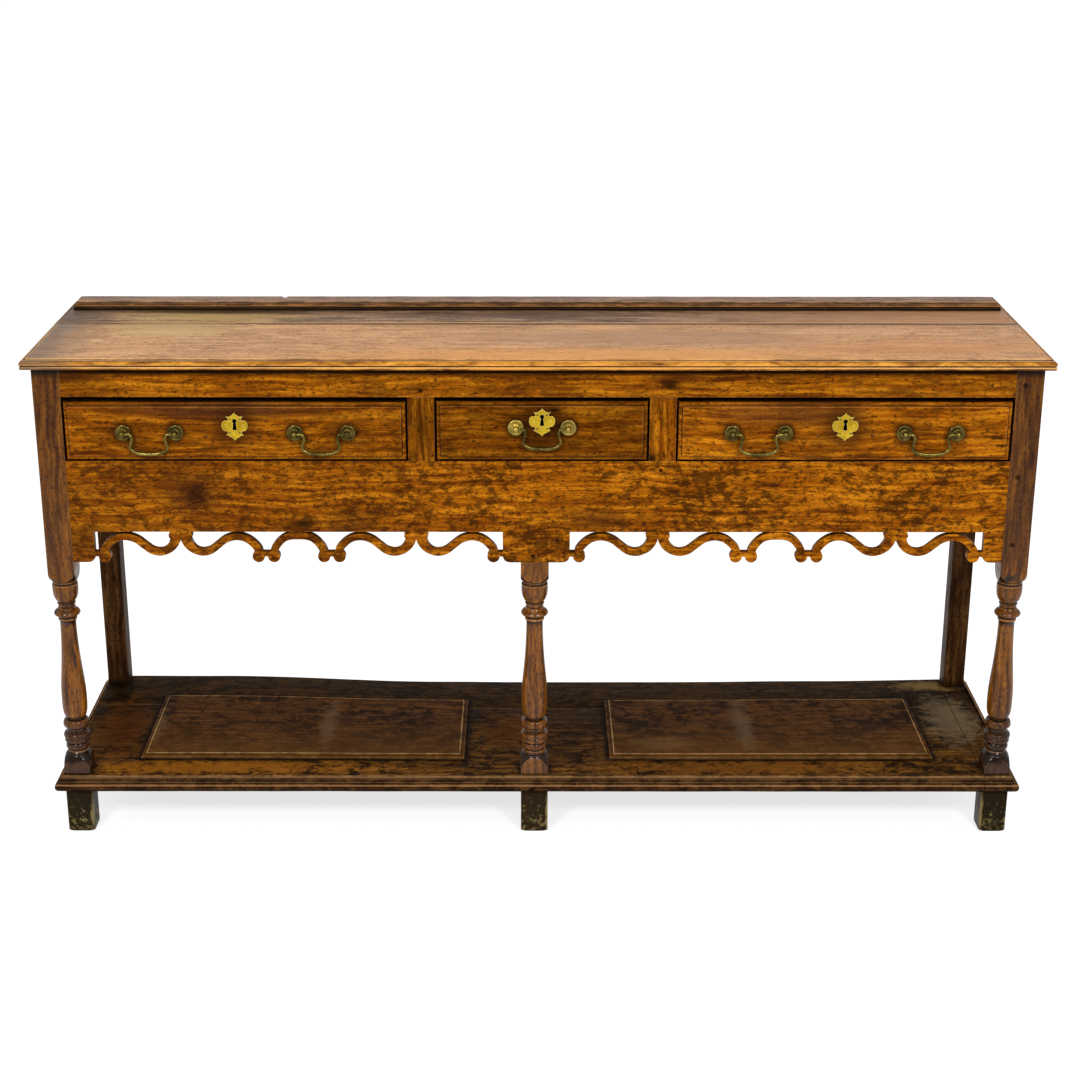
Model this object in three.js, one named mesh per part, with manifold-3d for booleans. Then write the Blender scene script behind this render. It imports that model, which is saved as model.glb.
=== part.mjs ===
// A Welsh dresser base in oak: three drawers over a pierced fret apron, turned front legs and a pot board.
// Millimetres, +Z up, +X along the length, -Y towards the front. The origin is on the floor, at the middle.
import * as THREE from 'three';
import { mergeVertices } from 'three/addons/utils/BufferGeometryUtils.js';
import Module from 'manifold-3d';

const wasm = await Module();
wasm.setup();

// Carcase: posts, rails and panels
const carcaseLength = 1720; // over the outer faces of the posts
const carcaseDepth = 450; // front of the front posts to the back of the back posts
const carcaseHeight = 877; // floor to the underside of the top
const postSize = 47;
const backPostSize = 41;
const footBevel = 3;
const middleLegSize = 49;
const middleLegShift = -5; // the middle leg was set a little left of the middle
const faceSetback = 1; // rails and apron lie this far behind the posts' faces
const railHeight = 51;
const railThickness = 22;
const muntinWidth = 46;
const middleOpening = 368; // between the muntins
const middleOpeningShift = 7;
const drawerOpeningHeight = 114;
const panelThickness = 16; // end boards
const panelSetback = 6;
const backThickness = 12;
const backSetback = 5;
const tongueLength = 9; // end and back boards into the grooves of the posts
const tenonLength = 22;
const tenonThickness = 8;
const tenonShoulder = 6;
const tongueShoulder = 3;
const backTongueShoulder = 2;

// Fits
const seatGap = 0.3; // around tenons, tongues, tails and pins
const overrun = 5; // how far a cut reaches past what it cuts

// Turning of the front legs
const turningBottom = 124; // where the lower block's corners begin to be cut away
const turningTop = 491; // where the upper block's corners are whole again
const legSides = 16;
const beadSteps = 2;
const weldShare = 0.001; // of the seat gap: points this near to each other are one

// Top and its ledge
const topThickness = 18;
const topOverhang = 16; // past the posts at the front and ends
const topFrontBoardDepth = 262;
const boardGap = 0.6; // open joint between two boards
const topEdge = { width: 8, quirk: 1.6, groove: 1.8, upperBead: 8.6 };
const ledgeDepth = 47;
const ledgeThickness = 16;
const ledgeSetback = 52; // in front of the top's back edge
const ledgeEdge = { width: 5, quirk: 0.8, groove: 1.5, upperBead: 9.5 };

// Pot board
const potBoardUnderside = 85;
const potBoardThickness = 30;
const potBoardOverhang = 16;
const potFrontPlankDepth = 325;
const potEdge = { width: 9, quirk: 5, groove: 3, upperBead: 14 };
const edgeStripWidth = 12; // the moulded strip on each end
const bearerWidth = 24;
const bearerHeight = 25;
const raisedPanelLength = 598;
const raisedPanelDepth = 275;
const raisedPanelThickness = 8;
const raisedPanelFront = 67; // behind the posts' faces
const raisedPanelSpread = 433.5; // middle of each from the middle of the board
const raisedPanelEdge = 4;

// Apron and its fret
const apronThickness = 14;
const apronBoardHeight = 129; // solid board above the fret
const fretDrop = 56.5; // from the board's lower edge to the lowest point of a ball
const bandWidth = 12.2; // of the sawn scrolls
const middleBlockWidth = 117;
const middleBlockShift = -2.4;
const endBlockWidth = 36.5;
const fretShift = 2.5; // the fret was set out a little to the right
const blockRadius = 14;
const ballRadius = 10.7;
const ballPairSpacing = 27;
const ballEndSpacing = 16.4; // ball to a block
const archSpan = 87.5; // ball to ball under an arch
const curlRadius = 7;
const webHeight = 8.5;
const scrollSteps = 18;
const archSteps = 9;
const ballSides = 14;

// Drawers
const drawerSideGap = 3.5;
const drawerTopGap = 4;
const drawerBottomGap = 1;
const drawerProud = 5; // how far the fronts stand out from the rails
const drawerFrontThickness = 20;
const drawerEdgeWidth = 5.5;
const drawerEdgeDepth = 6.5;
const drawerSideThickness = 10;
const drawerSideDrop = 8; // sides are lower than the front
const drawerBottomThickness = 7;
const drawerBottomRaise = 4;
const drawerGrooveDepth = 4;
const drawerBackGap = 6;
const tailLength = 13;
const tailRootHeight = 17;
const tailFlare = 3;
const tailCount = 3;
const runnerBearing = 20; // how far a runner reaches under a drawer
const runnerHeight = 24;
const guideHeight = 20;

// Brass
const roseRadius = 13.6;
const handleSpread = 147; // handle from the middle of a long drawer
const handleHeight = 52.4; // knobs above the bottom of the opening
const middleHandleHeight = 62;
const knobSpacing = 90;
const knobReach = 10.5; // knob centre in front of the drawer
const knobRadius = 5;
const stemRadius = 3;
const pinRadius = 1.6;
const pinDepth = 4; // of the pin in the knob
const bailDrop = 35;
const bailRadius = 1.8;
const bailSwell = 1; // added to the radius at the middle of the grip
const gripShare = 0.5; // of the knob's distance from the middle: how far the swelling reaches
const roseSides = 12;
const bailSides = 8;
const bailSteps = 16;
const escutcheonWidth = 46;
const escutcheonHeight = 50;
const escutcheonThickness = 1.6;
const escutcheonHeightInOpening = 64;
const middleEscutcheonHeight = 72;
const keyholeRadius = 3.9;
const keyholeSlot = 5.4;
const keyholeHeight = 20;
const keyholeRaise = 4; // keyhole's middle above the plate's middle

// Places that follow from the sizes above
const knobFront = drawerProud - faceSetback + knobReach + knobRadius; // in front of the posts
const frontReach = Math.max(topOverhang, potBoardOverhang, knobFront);
const frontY = frontReach - (carcaseDepth + frontReach) / 2;
const backY = frontY + carcaseDepth;
const outerX = carcaseLength / 2;
const innerX = outerX - postSize;
const faceY = frontY + faceSetback;
const railBottom = carcaseHeight - railHeight;
const openingBottom = railBottom - drawerOpeningHeight;
const apronBottom = openingBottom - apronBoardHeight;
const fretBottom = apronBottom - fretDrop;
const frontPostBack = frontY + postSize;
const backPostFront = backY - backPostSize;
const backInnerX = outerX - backPostSize;
const backBoardBack = backY - backSetback;
const backBoardFront = backBoardBack - backThickness;
const potBoardTop = potBoardUnderside + potBoardThickness;
const topSurface = carcaseHeight + topThickness;
const middleLeft = middleOpeningShift - middleOpening / 2;
const middleRight = middleOpeningShift + middleOpening / 2;
const drawerFace = faceY - drawerProud;

const oakFront = material(0x9a5a18, 0.5);
const oakPost = material(0x6b3a1a, 0.5);
const oakTop = material(0x8c5a34, 0.4);
const oakPot = material(0x3e2712, 0.6);
const oakInside = material(0x7a5a3a, 0.75);
const brass = material(0x7a7034, 0.38, 1);
const brassPlate = material(0xa5922e, 0.4, 1);

function material(colour, roughness, metalness = 0) {
  return new THREE.MeshStandardMaterial({ color: colour, roughness, metalness, flatShading: true });
}

// Geometry helpers

// Six times the enclosed volume: its sign tells whether the faces point out.
function signedVolume(position, index) {
  const [a, b, c] = [new THREE.Vector3(), new THREE.Vector3(), new THREE.Vector3()];
  let sum = 0;
  for (let i = 0; i < index.length; i += 3) {
    a.fromBufferAttribute(position, index[i]);
    b.fromBufferAttribute(position, index[i + 1]);
    c.fromBufferAttribute(position, index[i + 2]);
    sum += a.dot(b.cross(c));
  }
  return sum;
}

// One welded solid from any closed geometry, with its faces turned outwards.
function solid(geometry) {
  const bare = new THREE.BufferGeometry();
  bare.setAttribute('position', geometry.getAttribute('position'));
  if (geometry.index) bare.setIndex(geometry.index);
  const welded = mergeVertices(bare, seatGap * weldShare);
  const all = Array.from(welded.index.array);
  let triangles = [];
  for (let i = 0; i < all.length; i += 3) {
    const [a, b, c] = all.slice(i, i + 3);
    if (a !== b && b !== c && c !== a) triangles.push(a, b, c);
  }
  const position = welded.getAttribute('position');
  if (signedVolume(position, triangles) < 0) triangles = triangles.reverse();
  const vertProperties = Float32Array.from(position.array);
  const triVerts = Uint32Array.from(triangles);
  return new wasm.Manifold(new wasm.Mesh({ numProp: 3, vertProperties, triVerts }));
}

function join(parts) {
  return parts.reduce((sum, next) => sum.add(next));
}

function cut(body, tools) {
  return tools.reduce((left, tool) => left.subtract(tool), body);
}

// A named mesh from a solid.
function piece(name, body, finish) {
  const { vertProperties, triVerts } = body.getMesh();
  const geometry = new THREE.BufferGeometry();
  geometry.setAttribute('position', new THREE.BufferAttribute(Float32Array.from(vertProperties), 3));
  geometry.setIndex(new THREE.BufferAttribute(Uint32Array.from(triVerts), 1));
  const mesh = new THREE.Mesh(geometry, finish.clone());
  mesh.name = name;
  return mesh;
}

// Moves each vertex to the place that a function gives, so that faces meant to meet lie exactly in one plane.
function placed(geometry, place) {
  const { position } = geometry.attributes;
  for (let i = 0; i < position.count; i += 1) {
    position.setXYZ(i, ...place(position.getX(i), position.getY(i), position.getZ(i)));
  }
  return solid(geometry);
}

// A box between two corners.
function block([x0, y0, z0], [x1, y1, z1]) {
  const pick = (x, y, z) => [x < 0 ? x0 : x1, y < 0 ? y0 : y1, z < 0 ? z0 : z1];
  return placed(new THREE.BoxGeometry(), pick);
}

// A closed skin over rings of points, with a cap on each end.
function loft(rings) {
  const count = rings[0].length;
  const position = rings.flat(2);
  const index = [];
  for (let ring = 0; ring + 1 < rings.length; ring += 1) {
    for (let i = 0; i < count; i += 1) {
      const a = ring * count + i;
      const b = ring * count + ((i + 1) % count);
      index.push(a, b, b + count, a, b + count, a + count);
    }
  }
  const last = (rings.length - 1) * count;
  for (let i = 1; i + 1 < count; i += 1) {
    index.push(0, i + 1, i);
    index.push(last, last + i, last + i + 1);
  }
  const geometry = new THREE.BufferGeometry();
  geometry.setAttribute('position', new THREE.Float32BufferAttribute(position, 3));
  geometry.setIndex(index);
  return solid(geometry);
}

// A flat outline in X and Z, given thickness along Y from the front to the back.
function plate(shape, front, back, steps) {
  const geometry = new THREE.ExtrudeGeometry(shape, { depth: 1, bevelEnabled: false, curveSegments: steps });
  return placed(geometry, (x, z, depth) => [x, depth > 0 ? front : back, z]);
}

// A flat outline in Y and Z, given thickness along X.
function sideways(points, left, right) {
  const shape = new THREE.Shape(points.map(([y, z]) => new THREE.Vector2(y, z)));
  const geometry = new THREE.ExtrudeGeometry(shape, { depth: 1, bevelEnabled: false });
  return placed(geometry, (y, z, depth) => [depth > 0 ? right : left, y, z]);
}

// An edge moulding as insets and drops from the upper surface: a quirk, an ovolo, a groove and a small bead.
function edgeProfile(edge, thickness) {
  const upperEnd = edge.quirk + edge.upperBead;
  const line = new THREE.Path();
  line.moveTo(edge.width, 0);
  line.lineTo(edge.width, edge.quirk);
  line.quadraticCurveTo(0, edge.quirk, 0, upperEnd - edge.groove);
  line.lineTo(edge.groove, upperEnd);
  line.quadraticCurveTo(0, upperEnd, 0, (upperEnd + thickness) / 2);
  line.quadraticCurveTo(0, thickness, edge.groove, thickness);
  return line.getPoints(beadSteps).map((point) => [point.x, point.y]);
}

// A board with that moulding on the named sides: 1 where a side is moulded, 0 where it is square.
function mouldedBoard([x0, y0, z0], [x1, y1, z1], profile, { left, right, front, back }) {
  const ring = ([inset, drop]) => {
    const [west, east] = [x0 + inset * left, x1 - inset * right];
    const [south, north] = [y0 + inset * front, y1 - inset * back];
    const z = z1 - drop;
    return [[west, south, z], [east, south, z], [east, north, z], [west, north, z]];
  };
  return loft(profile.map(ring));
}

// A thumbnail edge: a small step at the face and a quarter round behind it.
const stepDepthShare = 0.2;
const stepSlopeShare = 0.12;

function thumbnailProfile(width, depth) {
  const line = new THREE.Path();
  const step = stepDepthShare * depth;
  line.moveTo(width, 0);
  line.lineTo(width - stepSlopeShare * width, step);
  line.quadraticCurveTo(0, step, 0, depth);
  return line.getPoints(beadSteps).map((point) => [point.x, point.y]);
}

// A solid turned about the upright axis through a point, with its facets square to X and Y.
function turned(path, steps, sides, x, y) {
  const geometry = new THREE.LatheGeometry(path.getPoints(steps), sides);
  geometry.rotateY(Math.PI / sides);
  geometry.rotateX(Math.PI / 2);
  geometry.translate(x, y, 0);
  return solid(geometry);
}

// Turned front legs

// The turning from the lower block up: [radius, height] is a line, and with a control point before it a curve.
// Radii are shares of half the leg's size, and heights are shares of the turned length.
const turningShares = [
  [1.46, 0], [1.46, 0.056, 1.0, 0.082], [0.78, 0.089], [0.76, 0.118, 0.96, 0.135], [1.02, 0.145, 0.96, 0.154],
  [0.84, 0.158], [0.82, 0.18, 0.85, 0.204], [0.96, 0.21], [1.0, 0.227, 0.94, 0.24], [0.76, 0.247],
  [0.74, 0.256], [1.02, 0.28, 0.97, 0.36], [0.93, 0.46, 0.72, 0.575], [0.62, 0.64, 0.62, 0.76],
  [0.68, 0.778], [0.88, 0.786], [1.0, 0.806, 0.86, 0.82], [0.68, 0.836, 0.7, 0.868],
  [0.92, 0.888, 0.96, 0.925], [0.96, 0.954], [0.9, 0.962], [1.0, 0.967], [1.46, 0.972, 1.46, 1],
];
const blockRadiusShare = 1.5;

function turning(size, x, y) {
  const length = turningTop - turningBottom;
  const at = (radiusShare, heightShare) => [radiusShare * size / 2, turningBottom + heightShare * length];
  const corner = blockRadiusShare * size / 2;
  const line = new THREE.Path();
  line.moveTo(0, -overrun);
  line.lineTo(corner, -overrun);
  line.lineTo(corner, turningBottom);
  for (const stroke of turningShares) {
    if (stroke.length === 2) line.lineTo(...at(...stroke));
    else line.quadraticCurveTo(...at(stroke[0], stroke[1]), ...at(stroke[2], stroke[3]));
  }
  line.lineTo(corner, turningTop);
  line.lineTo(corner, carcaseHeight + overrun);
  line.lineTo(0, carcaseHeight + overrun);
  return turned(line, beadSteps, legSides, x, y);
}

// A square post with a small bevel round its foot.
function squarePost(x0, y0, size, top) {
  const ring = (inset, z) => [
    [x0 + inset, y0 + inset, z], [x0 + size - inset, y0 + inset, z],
    [x0 + size - inset, y0 + size - inset, z], [x0 + inset, y0 + size - inset, z],
  ];
  return loft([ring(footBevel, 0), ring(0, footBevel), ring(0, top)]);
}

// The room that a tenon or tongue needs: its own box, larger all round by the seat gap.
function mortise([x0, y0, z0], [x1, y1, z1]) {
  return block([x0 - seatGap, y0 - seatGap, z0 - seatGap], [x1 + seatGap, y1 + seatGap, z1 + seatGap]);
}

// The bar inside a piece that carries the tenons or tongues on both of its ends.
function core([low], [, high]) {
  return block(low, high);
}

// Boxes of the tenons and tongues, for side -1 (left) or 1 (right)
function between(side, near, far) {
  return side > 0 ? [near, far] : [-far, -near];
}

function railTenonBox(side) {
  const [x0, x1] = between(side, innerX, innerX + tenonLength);
  const y0 = faceY + tenonShoulder;
  const z1 = carcaseHeight - tenonShoulder;
  return [[x0, y0, railBottom + tenonShoulder], [x1, y0 + tenonThickness, z1]];
}

function apronTenonBox(side) {
  const [x0, x1] = between(side, innerX, innerX + tenonLength);
  const y0 = faceY + tongueShoulder;
  return [[x0, y0, apronBottom + tenonShoulder], [x1, y0 + tenonThickness, openingBottom - tenonShoulder]];
}

function endTongueBox(side, atFront) {
  const outer = outerX - panelSetback;
  const [x0, x1] = between(side, outer - panelThickness + tongueShoulder, outer - tongueShoulder);
  const y0 = atFront ? frontPostBack - tongueLength : backPostFront;
  return [[x0, y0, apronBottom], [x1, y0 + tongueLength, carcaseHeight - tenonShoulder]];
}

function backTongueBox(side) {
  const [x0, x1] = between(side, backInnerX, backInnerX + tongueLength);
  const y0 = backBoardFront + backTongueShoulder;
  const y1 = backBoardBack - backTongueShoulder;
  return [[x0, y0, apronBottom], [x1, y1, carcaseHeight - tenonShoulder]];
}

function frontPost(side) {
  const x0 = side > 0 ? innerX : -outerX;
  const shaped = squarePost(x0, frontY, postSize, carcaseHeight)
    .intersect(turning(postSize, x0 + postSize / 2, frontY + postSize / 2));
  const boxes = [railTenonBox(side), apronTenonBox(side), endTongueBox(side, true)];
  return cut(shaped, boxes.map((box) => mortise(...box)));
}

// The middle leg stops under the drawers, and its upper end is cut back to lie behind the apron.
function middleLeg() {
  const x0 = middleLegShift - middleLegSize / 2;
  const top = openingBottom - tenonShoulder;
  const shaped = squarePost(x0, frontY, middleLegSize, top)
    .intersect(turning(middleLegSize, middleLegShift, frontY + middleLegSize / 2));
  const apronBack = faceY + apronThickness;
  const lap = block(
    [x0 - overrun, frontY - overrun, fretBottom],
    [x0 + middleLegSize + overrun, apronBack, top + overrun],
  );
  return cut(shaped, [lap]);
}

function backPost(side) {
  const x0 = side > 0 ? backInnerX : -outerX;
  const body = squarePost(x0, backPostFront, backPostSize, carcaseHeight);
  return cut(body, [endTongueBox(side, false), backTongueBox(side)].map((box) => mortise(...box)));
}

// Carcase rails and boards

function muntinTenonBox(x0, upper) {
  const z0 = upper ? railBottom : openingBottom - tenonLength;
  const y0 = faceY + tongueShoulder;
  return [
    [x0 + tenonShoulder, y0, z0],
    [x0 + muntinWidth - tenonShoulder, y0 + tenonThickness, z0 + tenonLength],
  ];
}

const muntinPlaces = [middleLeft - muntinWidth, middleRight];

function topRail() {
  const bar = block([-innerX, faceY, railBottom], [innerX, faceY + railThickness, carcaseHeight]);
  const whole = bar.add(core(railTenonBox(-1), railTenonBox(1)));
  return cut(whole, muntinPlaces.map((x0) => mortise(...muntinTenonBox(x0, true))));
}

function muntin(x0) {
  const bar = block([x0, faceY, openingBottom], [x0 + muntinWidth, faceY + railThickness, railBottom]);
  return bar.add(core(muntinTenonBox(x0, false), muntinTenonBox(x0, true)));
}

function endPanel(side) {
  const outer = outerX - panelSetback;
  const [x0, x1] = between(side, outer - panelThickness, outer);
  const board = block([x0, frontPostBack, apronBottom], [x1, backPostFront, carcaseHeight]);
  return board.add(core(endTongueBox(side, true), endTongueBox(side, false)));
}

function backPanel() {
  const board = block([-backInnerX, backBoardFront, apronBottom], [backInnerX, backBoardBack, carcaseHeight]);
  return board.add(core(backTongueBox(-1), backTongueBox(1)));
}

// Apron with its pierced fret: sawn scrolls that end in balls

// Half a scallop from its cusp to its ball: how far along, how far down and how wide, as shares of the half
// scallop's length, of the fret's drop and of the band's width.
const scrollShares = [
  [0.07, -0.08, 1.55], [0.07, 0.25, 1.5], [0.125, 0.5, 1.25], [0.2, 0.635, 1.02], [0.285, 0.68, 1],
  [0.385, 0.62, 1], [0.48, 0.445, 1], [0.58, 0.26, 1], [0.71, 0.17, 1], [0.84, 0.225, 1], [0.94, 0.4, 1.05],
  [1.005, 0.62, 1.1], [1.0, 0.8, 1.1],
];

// Half an arch from its crown to its ball, as shares of half the arch's span.
const archShares = [
  [0, 0.13, 1.1], [0.3, 0.145, 1.05], [0.58, 0.225, 1], [0.82, 0.4, 1.05],
  [0.985, 0.62, 1.1], [1.0, 0.8, 1.1],
];

// A band of changing width along a smooth line through the points, run out along X by the direction given.
function band(shares, originX, reach, direction, steps) {
  const line = new THREE.CatmullRomCurve3(shares.map(([along, down, width]) => new THREE.Vector3(
    originX + direction * along * reach, apronBottom - down * fretDrop, width * bandWidth,
  )), false, 'centripetal');
  const spots = line.getPoints(steps);
  const [left, right] = [[], []];
  spots.forEach((spot, i) => {
    const before = spots[Math.max(i - 1, 0)];
    const after = spots[Math.min(i + 1, steps)];
    const across = new THREE.Vector2(before.y - after.y, after.x - before.x).setLength(spot.z / 2);
    left.push(new THREE.Vector2(spot.x + across.x, spot.y + across.y));
    right.unshift(new THREE.Vector2(spot.x - across.x, spot.y - across.y));
  });
  return new THREE.Shape([...left, ...right]);
}

function disc(x, z, radius) {
  const shape = new THREE.Shape();
  shape.absarc(x, z, radius, 0, 2 * Math.PI);
  return shape;
}

const ballHeight = fretBottom + ballRadius;

// One side of a scallop: the scroll, its ball and its curl under the board, beside the cusp.
function scroll(cusp, reach, direction) {
  return [
    band(scrollShares, cusp, reach, direction, scrollSteps),
    disc(cusp + direction * reach, ballHeight, ballRadius),
    disc(cusp + direction * 2 * curlRadius, apronBottom - curlRadius, curlRadius),
  ];
}

function halfArch(crown, reach, direction) {
  return [
    band(archShares, crown, reach, direction, archSteps),
    disc(crown + direction * reach, ballHeight, ballRadius),
  ];
}

function web(x0, x1) {
  const middle = ballHeight + webHeight / 2;
  return new THREE.Shape([
    new THREE.Vector2(x0, middle - webHeight / 2), new THREE.Vector2(x1, middle - webHeight / 2),
    new THREE.Vector2(x1, middle + webHeight / 2), new THREE.Vector2(x0, middle + webHeight / 2),
  ]);
}

// One half of the fret between two blocks: a scallop, an arch and a scallop.
function fretHalf(x0, x1) {
  const scallop = (x1 - x0 - 2 * ballEndSpacing - 2 * ballPairSpacing - archSpan) / 2;
  const firstBall = x0 + ballEndSpacing;
  const archLeft = firstBall + scallop + ballPairSpacing;
  const archRight = archLeft + archSpan;
  const lastBall = x1 - ballEndSpacing;
  const cusps = [firstBall + scallop / 2, lastBall - scallop / 2];
  const crown = archLeft + archSpan / 2;
  const shapes = cusps.flatMap((cusp) => [-1, 1].flatMap((way) => scroll(cusp, scallop / 2, way)));
  shapes.push(...[-1, 1].flatMap((way) => halfArch(crown, archSpan / 2, way)));
  shapes.push(web(x0 - overrun, firstBall), web(archLeft - ballPairSpacing, archLeft));
  shapes.push(web(archRight, archRight + ballPairSpacing), web(lastBall, x1 + overrun));
  return shapes;
}

// A block hanging from the board, with its lower corners rounded on the sides given.
function hangingBlock(x0, x1, roundLeft, roundRight) {
  const [left, right] = [blockRadius * roundLeft, blockRadius * roundRight];
  const shape = new THREE.Shape();
  shape.moveTo(x0, apronBottom + overrun);
  shape.lineTo(x0, fretBottom + left);
  if (roundLeft) shape.absarc(x0 + left, fretBottom + left, left, Math.PI, 1.5 * Math.PI);
  shape.lineTo(x1 - right, fretBottom);
  if (roundRight) shape.absarc(x1 - right, fretBottom + right, right, -Math.PI / 2, 0);
  shape.lineTo(x1, apronBottom + overrun);
  return shape;
}

function apron() {
  const [front, back] = [faceY, faceY + apronThickness];
  const middle = [middleBlockShift - middleBlockWidth / 2, middleBlockShift + middleBlockWidth / 2];
  const ends = [fretShift + endBlockWidth - innerX, fretShift + innerX - endBlockWidth];
  const shapes = [
    ...fretHalf(ends[0], middle[0]), ...fretHalf(middle[1], ends[1]),
    hangingBlock(...middle, 1, 1), hangingBlock(-innerX, ends[0], 0, 1), hangingBlock(ends[1], innerX, 1, 0),
  ];
  const board = block([-innerX, front, apronBottom], [innerX, back, openingBottom]);
  const sawn = shapes.map((shape) => plate(shape, front, back, ballSides / 2));
  const whole = join([board, ...sawn, core(apronTenonBox(-1), apronTenonBox(1))]);
  return cut(whole, muntinPlaces.map((x0) => mortise(...muntinTenonBox(x0, false))));
}

// Top

const noSides = { left: 0, right: 0, front: 0, back: 0 };

function topBoards() {
  const halfLength = outerX + topOverhang;
  const jointY = frontY - topOverhang + topFrontBoardDepth;
  const profile = edgeProfile(topEdge, topThickness);
  const ends = { ...noSides, left: 1, right: 1 };
  const frontLow = [-halfLength, frontY - topOverhang, carcaseHeight];
  const front = mouldedBoard(frontLow, [halfLength, jointY, topSurface], profile, { ...ends, front: 1 });
  const backLow = [-halfLength, jointY + boardGap, carcaseHeight];
  const back = mouldedBoard(backLow, [halfLength, backY, topSurface], profile, ends);
  const ledgeBack = backY - ledgeSetback;
  const ledge = mouldedBoard(
    [-outerX, ledgeBack - ledgeDepth, topSurface], [outerX, ledgeBack, topSurface + ledgeThickness],
    edgeProfile(ledgeEdge, ledgeThickness), { ...ends, front: 1 },
  );
  return [
    piece('top_front_board', front, oakTop),
    piece('top_back_board', back, oakTop),
    piece('top_ledge', ledge, oakTop),
  ];
}

// Pot board: two planks notched round the legs, a moulded strip on each end, bearers and two raised panels

function potPlankCuts() {
  const outside = outerX + potBoardOverhang;
  const stripInner = outside - edgeStripWidth;
  const [low, high] = [potBoardUnderside - overrun, potBoardTop + overrun];
  const cuts = [];
  for (const side of [-1, 1]) {
    const [x0, x1] = between(side, stripInner, outside + overrun);
    cuts.push(block([x0, frontY, low], [x1, backY + overrun, high]));
    const [p0, p1] = between(side, innerX - seatGap, outside + overrun);
    cuts.push(block([p0, frontY - seatGap, low], [p1, frontPostBack + seatGap, high]));
    const [q0, q1] = between(side, backInnerX - seatGap, outside + overrun);
    cuts.push(block([q0, backPostFront - seatGap, low], [q1, backY + overrun, high]));
  }
  const notchHalf = middleLegSize / 2 + seatGap;
  const [m0, m1] = [middleLegShift - notchHalf, middleLegShift + notchHalf];
  cuts.push(block([m0, frontY - seatGap, low], [m1, frontY + middleLegSize + seatGap, high]));
  return cuts;
}

function potBoard() {
  const outside = outerX + potBoardOverhang;
  const jointY = frontY - potBoardOverhang + potFrontPlankDepth;
  const profile = edgeProfile(potEdge, potBoardThickness);
  const ends = { ...noSides, left: 1, right: 1 };
  const frontLow = [-outside, frontY - potBoardOverhang, potBoardUnderside];
  const front = mouldedBoard(frontLow, [outside, jointY, potBoardTop], profile, { ...ends, front: 1 });
  const back = block([-outside, jointY + boardGap, potBoardUnderside], [outside, backY, potBoardTop]);
  const pieces = [
    piece('pot_board_front_plank', cut(front, potPlankCuts()), oakPot),
    piece('pot_board_back_plank', cut(back, potPlankCuts()), oakPot),
  ];
  for (const side of [-1, 1]) {
    const label = side < 0 ? 'left' : 'right';
    const moulded = { ...noSides, [label]: 1 };
    const [x0, x1] = between(side, outside - edgeStripWidth + seatGap, outside);
    const stripLow = [x0, frontY + seatGap, potBoardUnderside];
    const strip = mouldedBoard(stripLow, [x1, backY, potBoardTop], profile, moulded);
    pieces.push(piece(`pot_board_edge_strip_${label}`, strip, oakPot));
    const middle = outerX - postSize / 2;
    const [b0, b1] = between(side, middle - bearerWidth / 2, middle + bearerWidth / 2);
    const bearerLow = potBoardUnderside - bearerHeight;
    const bearer = block([b0, frontPostBack, bearerLow], [b1, backPostFront, potBoardUnderside]);
    pieces.push(piece(`pot_board_bearer_${label}`, bearer, oakPot));
    const centre = side * raisedPanelSpread;
    const y0 = frontY + raisedPanelFront;
    const raised = mouldedBoard(
      [centre - raisedPanelLength / 2, y0, potBoardTop],
      [centre + raisedPanelLength / 2, y0 + raisedPanelDepth, potBoardTop + raisedPanelThickness],
      thumbnailProfile(raisedPanelEdge, raisedPanelThickness), { left: 1, right: 1, front: 1, back: 1 },
    );
    pieces.push(piece(`pot_board_raised_panel_${label}`, raised, oakPot));
  }
  return pieces;
}

// Runners: a bar under the drawers' sides with a guide standing on it

function endRunner(side) {
  const wall = outerX - panelSetback - panelThickness;
  const edge = innerX - runnerBearing;
  const outline = [
    [edge, openingBottom - runnerHeight], [wall, openingBottom - runnerHeight],
    [wall, openingBottom + guideHeight], [innerX, openingBottom + guideHeight],
    [innerX, openingBottom], [edge, openingBottom],
  ];
  const shape = new THREE.Shape(outline.map(([x, z]) => new THREE.Vector2(side * x, z)));
  return plate(shape, frontPostBack, backPostFront, 1);
}

function muntinRunner(x0) {
  const x1 = x0 + muntinWidth;
  const bar = block(
    [x0 - runnerBearing, faceY + apronThickness, openingBottom - runnerHeight],
    [x1 + runnerBearing, backBoardFront, openingBottom],
  );
  const guide = block(
    [x0, faceY + railThickness, openingBottom - overrun],
    [x1, backBoardFront, openingBottom + guideHeight],
  );
  return bar.add(guide);
}

// Drawers

// Outline of a drawer side with its dovetails, grown by a clearance where it is used as a cut.
function sideOutline(frontFaceY, back, bottom, top, gap) {
  const shoulder = frontFaceY + drawerFrontThickness;
  const tip = shoulder - tailLength;
  const pitch = (top - bottom) / tailCount;
  const half = tailRootHeight / 2;
  const points = [[back, bottom], [shoulder, bottom]];
  for (let i = 0; i < tailCount; i += 1) {
    const middle = bottom + pitch * (i + 0.5);
    points.push([shoulder, middle - half - gap], [tip - gap, middle - half - tailFlare - gap]);
    points.push([tip - gap, middle + half + tailFlare + gap], [shoulder, middle + half + gap]);
  }
  points.push([shoulder, top], [back, top]);
  return points;
}

function keyholeShape(x, z) {
  const shape = new THREE.Shape();
  const eye = z + keyholeHeight / 2 - keyholeRadius;
  const foot = z - keyholeHeight / 2;
  const meet = Math.asin(keyholeSlot / 2 / keyholeRadius);
  shape.moveTo(x - keyholeSlot / 2, foot);
  shape.lineTo(x + keyholeSlot / 2, foot);
  shape.absarc(x, eye, keyholeRadius, meet - Math.PI / 2, 1.5 * Math.PI - meet);
  return shape;
}

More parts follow.
